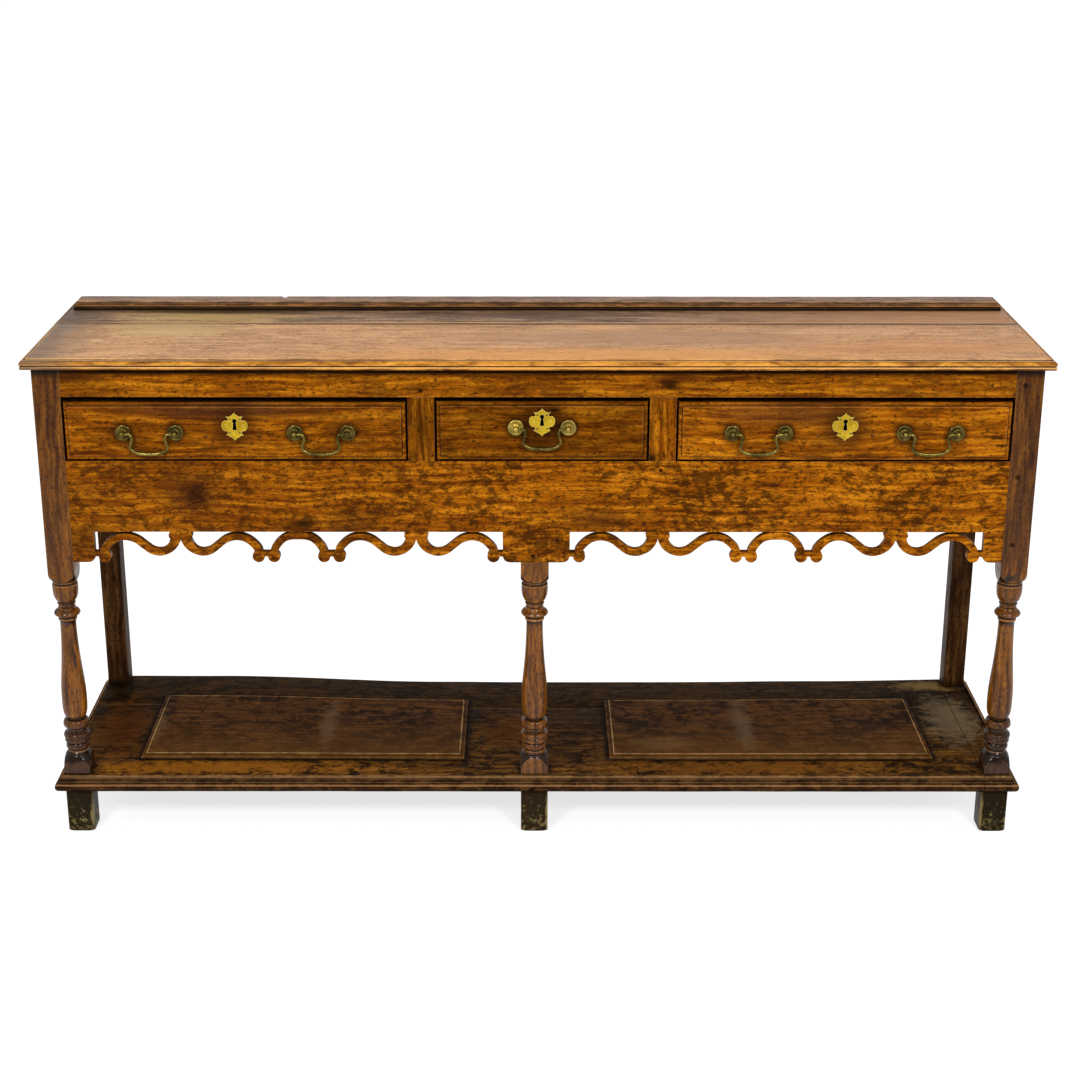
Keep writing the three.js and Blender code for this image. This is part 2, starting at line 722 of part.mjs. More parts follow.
// Right half of the escutcheon's fretted outline from its lower point to its upper one, as shares of half its
// width and half its height. [x, z] is a line, [control x, control z, x, z] is a curve.
const escutcheonShares = [
  [0.16, -0.9, 0.26, -0.72], [0.5, -0.66, 0.6, -0.66], [0.5, -0.5, 0.56, -0.36],
  [0.96, -0.42, 1, 0.02], [0.98, 0.46, 0.54, 0.4], [0.48, 0.56, 0.66, 0.78],
  [0.42, 0.7, 0.28, 0.76], [0.14, 0.84, 0, 1],
];

function escutcheonShape(x, z) {
  const [halfWidth, halfHeight] = [escutcheonWidth / 2, escutcheonHeight / 2];
  const right = new THREE.Path();
  right.moveTo(0, -halfHeight);
  for (const [cx, cz, px, pz] of escutcheonShares) {
    right.quadraticCurveTo(cx * halfWidth, cz * halfHeight, px * halfWidth, pz * halfHeight);
  }
  const points = right.getPoints(beadSteps);
  const left = points.slice(1, -1).reverse().map((point) => new THREE.Vector2(-point.x, point.y));
  return new THREE.Shape([...points, ...left].map((point) => new THREE.Vector2(x + point.x, z + point.y)));
}

function escutcheon(x, z) {
  const body = plate(escutcheonShape(x, z), drawerFace - escutcheonThickness, drawerFace, beadSteps);
  const keyhole = keyholeShape(x, z + keyholeRaise);
  const hole = plate(keyhole, drawerFace - overrun, drawerFace + overrun, beadSteps);
  return cut(body, [hole]);
}

// Rose, stem and drilled knob, turned about Y. The knob's hole faces the middle of its handle.
const roseShares = [
  [1, 0], [1, 0.1], [1, 0.22, 0.9, 0.22], [0.72, 0.08, 0.5, 0.16], [0.34, 0.26],
];

function rose(x, z, towards) {
  const knobBack = knobReach - knobRadius;
  const line = new THREE.Path();
  line.moveTo(0, 0);
  for (const stroke of roseShares) {
    const sized = stroke.map((share, i) => share * (i % 2 ? knobReach : roseRadius));
    if (stroke.length === 2) line.lineTo(...sized);
    else line.quadraticCurveTo(...sized);
  }
  line.lineTo(stemRadius, knobBack);
  line.quadraticCurveTo(knobRadius, knobBack, knobRadius, knobReach);
  line.quadraticCurveTo(knobRadius, knobReach + knobRadius, 0, knobReach + knobRadius);
  const body = new THREE.LatheGeometry(line.getPoints(beadSteps), roseSides);
  body.rotateX(Math.PI);
  body.translate(x, drawerFace, z);
  const holeRadius = pinRadius + seatGap;
  const holeLength = knobRadius + pinDepth;
  const hole = new THREE.CylinderGeometry(holeRadius, holeRadius, holeLength, bailSides);
  hole.rotateZ(Math.PI / 2);
  const holeEnd = knobRadius - pinDepth - seatGap;
  hole.translate(x + towards * (holeEnd + holeLength / 2), drawerFace - knobReach, z);
  return cut(solid(body), [solid(hole)]);
}

// Half of the swan-neck bail from its pin to the middle of its grip, as shares of half the knobs' spacing and
// of the bail's drop.
const bailShares = [
  [0.8, 0], [0.73, -0.03], [0.67, 0.14], [0.655, 0.36], [0.685, 0.6], [0.62, 0.84],
  [0.44, 0.97], [0.2, 1.01], [0, 1],
];

function bail(x, z) {
  const half = knobSpacing / 2;
  const y = drawerFace - knobReach;
  const pinTip = half - knobRadius + pinDepth - seatGap;
  const knobFace = half - knobRadius;
  const points = bailShares.map(([along, down]) => new THREE.Vector2(along * half, -down * bailDrop));
  const mirrored = points.slice(0, -1).reverse().map((point) => new THREE.Vector2(-point.x, point.y));
  const curve = new THREE.SplineCurve([...points, ...mirrored]);
  const spots = curve.getPoints(bailSteps);
  const path = [
    new THREE.Vector2(pinTip, 0), new THREE.Vector2(knobFace - seatGap, 0), ...spots,
    new THREE.Vector2(seatGap - knobFace, 0), new THREE.Vector2(-pinTip, 0),
  ];
  const rings = path.map((spot, i) => {
    const before = path[Math.max(i - 1, 0)];
    const after = path[Math.min(i + 1, path.length - 1)];
    const across = new THREE.Vector2(before.y - after.y, after.x - before.x).normalize();
    const middleness = Math.max(0, 1 - Math.abs(spot.x) / (gripShare * half));
    const body = bailRadius + bailSwell * middleness * middleness * (3 - 2 * middleness);
    const radius = Math.abs(spot.x) > knobFace - 2 * seatGap ? pinRadius : body;
    return Array.from({ length: bailSides }, (_, k) => {
      const turn = 2 * Math.PI * (k + 0.5) / bailSides;
      const inPlane = radius * Math.cos(turn);
      return [x + spot.x + across.x * inPlane, y + radius * Math.sin(turn), z + spot.y + across.y * inPlane];
    });
  });
  return loft(rings);
}

// Places that a drawer's pieces share.
function drawerLayout(openingLeft, openingRight) {
  const [x0, x1] = [openingLeft + drawerSideGap, openingRight - drawerSideGap];
  const [z0, z1] = [openingBottom + drawerBottomGap, railBottom - drawerTopGap];
  const inside = [x0 + drawerSideThickness, x1 - drawerSideThickness];
  const shoulder = drawerFace + drawerFrontThickness;
  const back = backBoardFront - drawerBackGap;
  const sideBottom = openingBottom + seatGap;
  const bottomZ = sideBottom + drawerBottomRaise;
  const bottomBox = [
    [inside[0] - drawerGrooveDepth, shoulder - drawerGrooveDepth, bottomZ],
    [inside[1] + drawerGrooveDepth, back, bottomZ + drawerBottomThickness],
  ];
  const sideTop = z1 - drawerSideDrop;
  const middle = (x0 + x1) / 2;
  return { x0, x1, z0, z1, inside, shoulder, back, sideBottom, sideTop, bottomBox, middle };
}

function drawerFront(layout, plateZ) {
  const { x0, x1, z0, z1, inside, shoulder, sideBottom, sideTop, bottomBox, middle } = layout;
  const ring = ([inset, depth]) => [
    [x0 + inset, drawerFace + depth, z0 + inset], [x1 - inset, drawerFace + depth, z0 + inset],
    [x1 - inset, drawerFace + depth, z1 - inset], [x0 + inset, drawerFace + depth, z1 - inset],
  ];
  const profile = thumbnailProfile(drawerEdgeWidth, drawerEdgeDepth);
  const panel = loft([...profile, [0, drawerFrontThickness]].map(ring));
  const socketOutline = sideOutline(drawerFace, shoulder + overrun, sideBottom, sideTop, seatGap);
  const keyhole = keyholeShape(middle, plateZ + keyholeRaise);
  const keyway = plate(keyhole, drawerFace - overrun, shoulder + overrun, beadSteps);
  return cut(panel, [
    sideways(socketOutline, x0 - overrun, inside[0] + seatGap),
    sideways(socketOutline, inside[1] - seatGap, x1 + overrun),
    mortise(...bottomBox), keyway,
  ]);
}

function drawerSide({ back, sideBottom, sideTop, bottomBox }, left, right) {
  const outline = sideOutline(drawerFace, back, sideBottom, sideTop, 0);
  return cut(sideways(outline, left, right), [mortise(...bottomBox)]);
}

function drawerBack({ inside, back, sideTop, bottomBox }) {
  const low = bottomBox[1][2] + seatGap;
  return block([inside[0], back - drawerSideThickness, low], [inside[1], back, sideTop]);
}

// A bail with its two knobs, their names following the drawer's.
function handle(name, x, z) {
  return [
    piece(name, bail(x, z), brass),
    piece(`${name}_rose_left`, rose(x - knobSpacing / 2, z, 1), brass),
    piece(`${name}_rose_right`, rose(x + knobSpacing / 2, z, -1), brass),
  ];
}

function drawer(name, layout, plateZ, handles) {
  return [
    piece(`${name}_front`, drawerFront(layout, plateZ), oakFront),
    piece(`${name}_side_left`, drawerSide(layout, layout.x0, layout.inside[0]), oakInside),
    piece(`${name}_side_right`, drawerSide(layout, layout.inside[1], layout.x1), oakInside),
    piece(`${name}_back`, drawerBack(layout), oakInside),
    piece(`${name}_bottom`, block(...layout.bottomBox), oakInside),
    piece(`${name}_escutcheon`, escutcheon(layout.middle, plateZ), brassPlate),
    ...handles,
  ];
}

function longDrawer(name, openingLeft, openingRight) {
  const layout = drawerLayout(openingLeft, openingRight);
  const z = openingBottom + handleHeight;
  return drawer(name, layout, openingBottom + escutcheonHeightInOpening, [
    ...handle(`${name}_left_bail`, layout.middle - handleSpread, z),
    ...handle(`${name}_right_bail`, layout.middle + handleSpread, z),
  ]);
}

function middleDrawer() {
  const layout = drawerLayout(middleLeft, middleRight);
  const bailAndKnobs = handle('middle_drawer_bail', layout.middle, openingBottom + middleHandleHeight);
  return drawer('middle_drawer', layout, openingBottom + middleEscutcheonHeight, bailAndKnobs);
}

// The whole dresser

function carcase() {
  return [
    piece('front_post_left', frontPost(-1), oakPost),
    piece('front_post_right', frontPost(1), oakPost),
    piece('front_leg_middle', middleLeg(), oakPost),
    piece('back_post_left', backPost(-1), oakPost),
    piece('back_post_right', backPost(1), oakPost),
    piece('top_rail', topRail(), oakFront),
    piece('muntin_left', muntin(muntinPlaces[0]), oakFront),
    piece('muntin_right', muntin(muntinPlaces[1]), oakFront),
    piece('apron', apron(), oakFront),
    piece('end_panel_left', endPanel(-1), oakPost),
    piece('end_panel_right', endPanel(1), oakPost),
    piece('back_panel', backPanel(), oakInside),
    piece('runner_left_end', endRunner(-1), oakInside),
    piece('runner_left_muntin', muntinRunner(muntinPlaces[0]), oakInside),
    piece('runner_right_muntin', muntinRunner(muntinPlaces[1]), oakInside),
    piece('runner_right_end', endRunner(1), oakInside),
  ];
}

const dresser = new THREE.Group();
dresser.add(
  ...carcase(), ...topBoards(), ...potBoard(),
  ...longDrawer('left_drawer', -innerX, muntinPlaces[0]), ...middleDrawer(),
  ...longDrawer('right_drawer', middleRight + muntinWidth, innerX),
);
export default dresser;
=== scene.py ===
"""A Welsh dresser base in old oak: its boards, turned legs, fret, drawers and brass, dressed around the frame.

Metres, +Z up, the front faces -Y. Sizes written in millimetres are turned to metres by MM.
"""
import math

import bpy
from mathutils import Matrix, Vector


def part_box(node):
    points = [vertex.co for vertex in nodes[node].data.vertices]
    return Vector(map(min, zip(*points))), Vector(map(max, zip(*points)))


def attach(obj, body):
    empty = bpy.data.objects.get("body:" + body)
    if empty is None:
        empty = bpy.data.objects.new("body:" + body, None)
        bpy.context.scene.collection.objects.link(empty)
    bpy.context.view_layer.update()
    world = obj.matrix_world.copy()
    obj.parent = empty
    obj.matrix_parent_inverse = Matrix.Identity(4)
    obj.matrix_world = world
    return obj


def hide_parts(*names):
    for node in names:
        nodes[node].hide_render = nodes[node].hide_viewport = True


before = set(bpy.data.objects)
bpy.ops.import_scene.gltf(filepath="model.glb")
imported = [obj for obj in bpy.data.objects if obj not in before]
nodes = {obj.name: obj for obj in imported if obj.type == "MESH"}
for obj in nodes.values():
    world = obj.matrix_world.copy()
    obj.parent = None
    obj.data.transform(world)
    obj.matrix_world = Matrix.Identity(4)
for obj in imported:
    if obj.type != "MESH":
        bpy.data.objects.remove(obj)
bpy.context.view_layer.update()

MM = 0.001
OVERRUN = 5 * MM  # how far a cutter reaches past what it cuts
SEAM = 0.3 * MM  # open joint between two pieces
ARRIS = 1.2 * MM  # a worn edge of a board
FINE_ARRIS = 0.5 * MM  # that of a small piece
WELD = 0.01 * MM  # points closer than this are one
FULL_RELIEF = math.radians(60)  # a profile that turns by this much is marked in full
MOULDING_STEPS = 6  # points along each bend of a moulding


# Bench tools


def focus(piece):
    """Only this piece is selected and worked on."""
    bpy.ops.object.select_all(action="DESELECT")
    piece.select_set(True)
    bpy.context.view_layer.objects.active = piece
    return piece


def open_up(piece):
    """Edit mode with nothing selected."""
    focus(piece)
    bpy.ops.object.mode_set(mode="EDIT")
    bpy.ops.mesh.select_all(action="DESELECT")


def close_up(piece):
    bpy.ops.object.mode_set(mode="OBJECT")
    return piece


def face_outwards(piece):
    """Every face turned outwards, then out of edit mode."""
    bpy.ops.mesh.select_all(action="SELECT")
    bpy.ops.mesh.normals_make_consistent(inside=False)
    return close_up(piece)


def set_out(name, data):
    """A mesh, lamp or camera, set out in the scene."""
    thing = bpy.data.objects.new(name, data)
    bpy.context.scene.collection.objects.link(thing)
    return thing


def settle(piece):
    """The piece's place goes into its mesh."""
    focus(piece)
    bpy.ops.object.transform_apply(location=True, rotation=True, scale=True)
    return piece


def work(piece, kind, **settings):
    """Adds a modifier with these settings and applies it."""
    modifier = piece.modifiers.new(kind, kind)
    for key, value in settings.items():
        setattr(modifier, key, value)
    focus(piece)
    bpy.ops.object.modifier_apply(modifier=modifier.name)
    return piece


def block(low, high):
    """A squared block between two corners."""
    low, high = Vector(low), Vector(high)
    bpy.ops.object.select_all(action="DESELECT")
    bpy.ops.mesh.primitive_cube_add(size=1, location=(low + high) / 2, scale=high - low)
    return settle(bpy.context.object)


def rod(centre, radius, length, axis, sides=24):
    """A round rod along an axis, through a centre."""
    turn = {"X": (0, math.pi / 2, 0), "Y": (math.pi / 2, 0, 0), "Z": (0, 0, 0)}[axis]
    bpy.ops.object.select_all(action="DESELECT")
    bpy.ops.mesh.primitive_cylinder_add(vertices=sides, radius=radius, depth=length, location=centre, rotation=turn)
    return settle(bpy.context.object)


def boolean(piece, tools, operation="DIFFERENCE"):
    """Cuts with, joins or keeps what lies in the tools, which are then gone."""
    for tool in tools:
        work(piece, "BOOLEAN", object=tool, operation=operation, solver="MANIFOLD")
        bpy.data.objects.remove(tool)
    return piece


def copy_of(node):
    """A copy of a frame piece with its triangles joined up and its flat faces whole."""
    piece = set_out(node + "_copy", nodes[node].data.copy())
    piece.data.materials.clear()
    open_up(piece)
    bpy.ops.mesh.select_all(action="SELECT")
    bpy.ops.mesh.remove_doubles(threshold=WELD)
    bpy.ops.mesh.dissolve_limited(angle_limit=math.radians(1))
    return close_up(piece)


def hollows(node, low, high):
    """What the frame piece has cut away inside a box: its mortises, sockets and holes."""
    return boolean(block(low, high), [copy_of(node)])


def soften(piece, width, segments=2, angle=38):
    """Rounds every edge that is sharper than the angle."""
    return work(piece, "BEVEL", width=width, segments=segments, limit_method="ANGLE",
                angle_limit=math.radians(angle), use_clamp_overlap=True)


def crosscut(piece, axis, spacing):
    """Loops of edges across the piece, square to an axis, so that it can bend and wear."""
    places = [corner[axis] for corner in piece.bound_box]
    low, high = min(places), max(places)
    count = max(1, round((high - low) / spacing))
    normal = Vector([float(k == axis) for k in range(3)])
    open_up(piece)
    for i in range(1, count):
        bpy.ops.mesh.select_all(action="SELECT")
        bpy.ops.mesh.bisect(plane_co=normal * (low + (high - low) * i / count), plane_no=normal)
    return close_up(piece)


def weather(piece, size, depth):
    """Old hand-planed wood is never quite flat: swells of this size, this deep."""
    clouds = bpy.data.textures.new("swell", "CLOUDS")
    clouds.noise_scale = size
    clouds.noise_depth = 1
    return work(piece, "DISPLACE", texture=clouds, texture_coords="GLOBAL", strength=depth, mid_level=0.5)


def trace(points):
    """A line of vertices through points, drawn by extruding a single vertex."""
    bpy.ops.object.select_all(action="DESELECT")
    bpy.ops.mesh.primitive_plane_add(size=1)
    line = bpy.context.object
    open_up(line)
    bpy.ops.mesh.select_all(action="SELECT")
    bpy.ops.mesh.merge(type="CENTER")
    here = Vector((0, 0, 0))
    for i, point in enumerate(points):
        step = Vector(point) - here
        if i:
            bpy.ops.mesh.extrude_vertices_move(TRANSFORM_OT_translate={"value": step})
        else:
            bpy.ops.transform.translate(value=step)
        here = Vector(point)
    return line


def turned(points, centre, axis, steps):
    """A profile spun once round an axis."""
    line = trace(points)
    bpy.ops.mesh.select_all(action="SELECT")
    bpy.ops.mesh.spin(steps=steps, angle=2 * math.pi, center=centre, axis=axis)
    bpy.ops.mesh.select_all(action="SELECT")
    bpy.ops.mesh.remove_doubles(threshold=WELD)
    return face_outwards(line)


def sawn(points, front, back):
    """A closed outline in X and Z, sawn from a board between two places in Y."""
    line = trace([(x, front, z) for x, z in points])
    bpy.ops.mesh.select_all(action="SELECT")
    bpy.ops.mesh.edge_face_add()
    bpy.ops.mesh.extrude_region_move(TRANSFORM_OT_translate={"value": (0, back - front, 0)})
    return face_outwards(line)


def strokes(start, shapes, steps):
    """Points along an outline: (x, z) goes straight, (cx, cz, x, z) bends towards its control point."""
    points = [start]
    for shape in shapes:
        ax, az = points[-1]
        if len(shape) == 2:
            points.append(shape)
            continue
        cx, cz, bx, bz = shape
        for k in range(1, steps + 1):
            t = k / steps
            own, pull, end = (1 - t) ** 2, 2 * t * (1 - t), t * t
            points.append((own * ax + pull * cx + end * bx, own * az + pull * cz + end * bz))
    return points


def scaled(shapes, across, along):
    """Strokes given in shares, as sizes."""
    return [tuple(v * (across, along)[i % 2] for i, v in enumerate(shape)) for shape in shapes]


def in_mm(start, shapes):
    """An edge's profile as insets and drops, in metres, from strokes in millimetres."""
    return [(inset * MM, drop * MM) for inset, drop in strokes(start, shapes, MOULDING_STEPS)]


def spline(points, steps):
    """Points along a smooth line through the given ones, with the same number of steps for each stretch."""
    points = [Vector(p) for p in points]
    ends = [2 * points[0] - points[1], *points, 2 * points[-1] - points[-2]]
    line = [points[0]]
    for before, a, b, after in zip(ends, ends[1:], ends[2:], ends[3:]):
        first, middle, last = (math.sqrt((q - p).length) for p, q in ((before, a), (a, b), (b, after)))
        leave = (a - before) / first - (b - before) / (first + middle) + (b - a) / middle
        arrive = (b - a) / middle - (after - a) / (middle + last) + (after - b) / last
        for k in range(1, steps + 1):
            t = k / steps
            line.append((2 * t**3 - 3 * t**2 + 1) * a + (t**3 - 2 * t**2 + t) * middle * leave
                        + (3 * t**2 - 2 * t**3) * b + (t**3 - t**2) * middle * arrive)
    return line


def relief_of(profile):
    """How sharply a profile turns at each point: up to 1 on a standing arris, down to -1 in a quirk and at its
    foot."""
    turns = []
    for before, here, after in zip(profile, profile[1:], profile[2:]):
        a, b = Vector(here) - Vector(before), Vector(after) - Vector(here)
        turns.append(max(-1.0, min(1.0, -math.atan2(a.cross(b), a.dot(b)) / FULL_RELIEF)))
    return [0.0, *turns, -1.0]


def mark_points(piece, name, values):
    """A number on every point of a piece, for its material to read."""
    piece.data.attributes.new(name, "FLOAT", "POINT").data.foreach_set("value", values)


def give_relief(piece, centre, profile):
    """Marks a turned piece with the relief of the profile it was turned to, as radius and height."""
    marked = list(zip(profile, relief_of([(r, -z) for r, z in profile])))
    places = [(math.dist(vertex.co.xy, centre.xy), vertex.co.z) for vertex in piece.data.vertices]
    mark_points(piece, "relief", [min(marked, key=lambda mark: math.dist(mark[0], place))[1] for place in places])


def moulded_board(low, high, profile, sides):
    """A board drawn out ring by ring from its upper face: profile holds (inset, drop), and sides the letters of
    the moulded ones."""
    low, high = Vector(low), Vector(high)
    left, right, front, back = (letter in sides for letter in "LRFB")
    centre_x = (low.x + high.x) / 2 if left == right else high.x if left else low.x
    centre_y = (low.y + high.y) / 2 if front == back else high.y if front else low.y

    def size(inset):
        return high.x - low.x - inset * (left + right), high.y - low.y - inset * (front + back)

    width, depth = size(profile[0][0])
    middle_x = (low.x + high.x) / 2 + profile[0][0] * (left - right) / 2
    middle_y = (low.y + high.y) / 2 + profile[0][0] * (front - back) / 2
    bpy.ops.object.select_all(action="DESELECT")
    bpy.ops.mesh.primitive_plane_add(size=1, location=(middle_x, middle_y, high.z))
    board = bpy.context.object
    board.scale = (width, depth, 1)
    settle(board)
    open_up(board)
    bpy.ops.mesh.select_all(action="SELECT")
    for (inset, drop), (next_inset, next_drop) in zip(profile, profile[1:]):
        old, new = size(inset), size(next_inset)
        bpy.ops.mesh.extrude_region_move(TRANSFORM_OT_translate={"value": (0, 0, drop - next_drop)})
        ratio = (new[0] / old[0], new[1] / old[1], 1)
        bpy.ops.transform.resize(value=ratio, center_override=(centre_x, centre_y, high.z))
    face_outwards(board)
    mark_points(board, "relief", [turn for turn in relief_of(profile) for corner in range(4)])
    return board


board_count = 0


def hand_over(piece, name, material, replaced=(), body="root", smooth=40, darkness=0.0):
    """Names, finishes and seats a piece: what it rides on and which frame pieces it stands for."""
    global board_count
    board_count += 1
    piece.name = name
    piece.data.name = name
    settle(piece)
    piece.data.materials.clear()
    piece.data.materials.append(material)
    for key, value in (("board", float(board_count)), ("darkness", darkness)):
        mark_points(piece, key, [value] * len(piece.data.vertices))
    bpy.ops.object.shade_smooth_by_angle(angle=math.radians(smooth))
    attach(piece, body)
    if replaced:
        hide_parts(*replaced)
    return piece


# Materials


def linear(hex_colour):
    """An sRGB hex value as linear red, green, blue and full alpha."""
    parts = [int(hex_colour[i : i + 2], 16) / 255 for i in (1, 3, 5)]
    return (*[c / 12.92 if c <= 0.04045 else ((c + 0.055) / 1.055) ** 2.4 for c in parts], 1)


def add(tree, kind, inputs=(), stops=(), **settings):
    """One node with its settings, its inputs by name or in the node's own order, and the stops of a ramp. An input
    is a value, a hex colour, or the node or socket that it is linked to."""
    node = tree.nodes.new("ShaderNode" + kind)
    for key, value in settings.items():
        setattr(node, key, value)
    for key, value in inputs.items() if isinstance(inputs, dict) else enumerate(inputs):
        if isinstance(value, bpy.types.Node):
            value = value.outputs[0]
        if isinstance(value, bpy.types.NodeSocket):
            tree.links.new(value, node.inputs[key])
        else:
            node.inputs[key].default_value = linear(value) if isinstance(value, str) else value
    for i, (place, colour) in enumerate(stops):
        ramp = node.color_ramp.elements
        stop = ramp[i] if i < 2 else ramp.new(place)
        stop.position = place
        stop.color = linear(colour)
    return node


def new_material(name):
    material = bpy.data.materials.new(name)
    material.use_nodes = True
    material.node_tree.nodes.clear()
    return material, material.node_tree


WHITE = "#ffffff"
SOOT_AND_SHADE = "#120904"
GRAIN_TURNS = {"X": (0, 0, 0), "Y": (0, 0, math.pi / 2), "Z": (0, math.pi / 2, 0)}
BOARD_SHIFT = (0.83, 0.37, 0.61)  # metres between the boards in the tree
FIGURE = (170, 7.5)  # millimetres along and across: growth rings, sawn through the side
FLECK = (9, 4)
PORE = (8, 1.9)  # open pores, 0.3 mm wide in oak, drawn wide enough to show
SWAY_SIZE, SWAY_DEPTH = 240 * MM, 30 * MM  # how the grain wanders along a board
PATINA_SIZE = 130 * MM
DENT_SIZE, DENT_DEPTH = 26 * MM, 1.2 * MM
SPECK_SIZE = 9 * MM
GRIME_AND_SHADE_REACH, QUIRK_REACH = 26 * MM, 5 * MM
WEAR_WIDTH = 1.8 * MM
FOOT_TOP, FOOT_FADE = 100 * MM, 5 * MM  # below this no polish is left
TARNISH_SIZE, CASTING_DEPTH = 22 * MM, 0.3 * MM
BRASS_WEAR, BRASS_GRIME = 1.2 * MM, 4 * MM
RUST_SIZE, RUST_DEPTH = 6 * MM, 0.3 * MM


def oak(name, along, tones, dirt, mottle=0.6, blotches=(34, 14), pores=0.55, worn=None, wear=0.7, gloss=0.42,
        shine=0.1, coat=0.0, tint="#ff9a50", extras=()):
    """Old oak, waxed for generations: streaked rings, dark pores, mottled dirt, grime and painted shade in every
    corner, quirk and foot of a moulding, and pale worn edges with a painted highlight where they face up. Tones are
    its dark, middle and light colours; extras are its own marks, laid on in their order."""
    material, tree = new_material(name)
    # Each board is cut from its own place in the tree, and its grain sways along it.
    place = add(tree, "TexCoord").outputs["Object"]
    own = add(tree, "Attribute", attribute_name="board").outputs["Fac"]
    shift = add(tree, "VectorMath", {0: BOARD_SHIFT, "Scale": own}, operation="SCALE")
    moved = add(tree, "VectorMath", [place, shift], operation="ADD")
    straight = add(tree, "Mapping", {"Vector": moved, "Rotation": GRAIN_TURNS[along]})
    sway = add(tree, "TexNoise", {"Vector": straight, "Scale": 1 / SWAY_SIZE, "Detail": 2.0}).outputs["Color"]
    swayed = add(tree, "VectorMath", [sway, (-0.5, -0.5, -0.5)], operation="ADD")
    bend = add(tree, "VectorMath", {0: swayed, "Scale": SWAY_DEPTH}, operation="SCALE")
    grain = add(tree, "VectorMath", [straight, bend], operation="ADD")
    figure, blotch, fleck, pore = [
        add(tree, "TexNoise", {
            "Vector": add(tree, "Mapping", {"Vector": grain, "Scale": [1 / (v * MM) for v in (length, width, width)]}),
            "Scale": 1.0, "Detail": detail, "Roughness": rough, "Distortion": twist})
        for (length, width), detail, rough, twist in (
            (FIGURE, 5.0, 0.6, 0.3), (blotches, 9.0, 0.74, 0.5), (FLECK, 3.0, 0.6, 0.0), (PORE, 1.0, 0.5, 0.0))]
    patina = add(tree, "TexNoise", {"Vector": moved, "Scale": 1 / PATINA_SIZE, "Detail": 4.0})
    dirtier = add(tree, "Math", [patina, 0.35, blotch], operation="MULTIPLY_ADD")
    # The rings, then dirt, flecks and pores over them.
    colour = add(tree, "ValToRGB", [figure], [(0.32, tones[0]), (0.48, tones[1]), (0.66, tones[2])])
    for noise, low, high, strength in (
            (dirtier, 0.71, 0.6, mottle), (fleck, 0.44, 0.35, 0.75), (pore, 0.4, 0.3, pores)):
        share = add(tree, "MapRange", [noise, low, high, 0.0, strength])
        colour = add(tree, "MixRGB", [share, colour, dirt])
    # Where the edges are: rounded by touch, standing proud in a moulding, and paler where they face up, a painted
    # highlight over the wear.
    crevice = add(tree, "AmbientOcclusion", {"Distance": GRIME_AND_SHADE_REACH}, samples=6).outputs["AO"]
    quirk = add(tree, "AmbientOcclusion", {"Distance": QUIRK_REACH}, samples=6, only_local=True).outputs["AO"]
    facing = add(tree, "NewGeometry").outputs["Normal"]
    rounded = add(tree, "Bevel", {"Radius": WEAR_WIDTH}, samples=6)
    turn = add(tree, "VectorMath", [facing, rounded], operation="DISTANCE").outputs["Value"]
    relief = add(tree, "Attribute", attribute_name="relief").outputs["Fac"]
    rise = add(tree, "SeparateXYZ", [facing]).outputs["Z"]
    touched = add(tree, "MapRange", [turn, 0.1, 0.4])
    in_reach = add(tree, "MapRange", [quirk, 0.55, 0.8])
    proud = add(tree, "MapRange", [relief, 0.25, 0.85])
    patchy = add(tree, "MapRange", [dirtier, 0.6, 0.72, 0.45, 1.0])
    upwards = add(tree, "MapRange", [rise, -0.4, 0.6, 0.2, 1.0])
    edge = add(tree, "Math", [touched, in_reach], operation="MULTIPLY")
    edge = add(tree, "Math", [edge, proud], operation="MAXIMUM")
    for share in (patchy, upwards):
        edge = add(tree, "Math", [edge, share], operation="MULTIPLY")
    # Its own marks, then soot and painted shade in the corners, in the quirks and at the foot of each moulding, and
    # the worn edges with their painted highlight over all.
    marks = {
        "place": place, "parts": add(tree, "SeparateXYZ", [place]), "blotch": blotch, "fleck": fleck, "edge": edge,
        "rise": rise, "not_flat": add(tree, "MapRange", [rise, 0.97, 0.86])}
    for extra in extras:
        share, tone = extra(tree, marks)
        colour = add(tree, "MixRGB", [share, colour, tone])
    for spot, low, high, strength in (
            (crevice, 0.82, 0.35, 0.92), (quirk, 0.93, 0.5, 0.85), (relief, -0.1, -0.8, 0.92)):
        share = add(tree, "MapRange", [spot, low, high, 0.0, strength])
        colour = add(tree, "MixRGB", [share, colour, SOOT_AND_SHADE])
    rubbed = add(tree, "Math", [edge, wear], operation="MULTIPLY")
    colour = add(tree, "MixRGB", [rubbed, colour, worn or tones[2]])
    darkness = add(tree, "Attribute", attribute_name="darkness").outputs["Fac"]
    colour = add(tree, "MixRGB", [darkness, colour, "#000000"])
    # Satin where it is clean, duller where it isn't, with open pores, flecks and shallow dents.
    dull = add(tree, "MapRange", [blotch, 0.35, 0.65, gloss + 0.14, gloss - 0.06])
    dent = add(tree, "TexNoise", {"Vector": moved, "Scale": 1 / DENT_SIZE, "Detail": 3.0})
    height = add(tree, "Math", [pore, 0.6, dent], operation="MULTIPLY_ADD")
    height = add(tree, "Math", [fleck, 0.3, height], operation="MULTIPLY_ADD")
    bump = add(tree, "Bump", {"Height": height, "Strength": 0.6, "Distance": DENT_DEPTH})
    if coat:
        coat = add(tree, "MapRange", [marks["parts"].outputs["Z"], FOOT_TOP - FOOT_FADE, FOOT_TOP, 0.0, coat])
    shader = add(tree, "BsdfPrincipled", {
        "Base Color": colour, "Roughness": dull, "Normal": bump, "IOR": 1.5, "Specular IOR Level": shine,
        "Specular Tint": tint, "Coat Weight": coat, "Coat Roughness": 0.2})
    add(tree, "OutputMaterial", {"Surface": shader})
    return material


# Marks: each gives the share and the tone that oak lays over its colour.


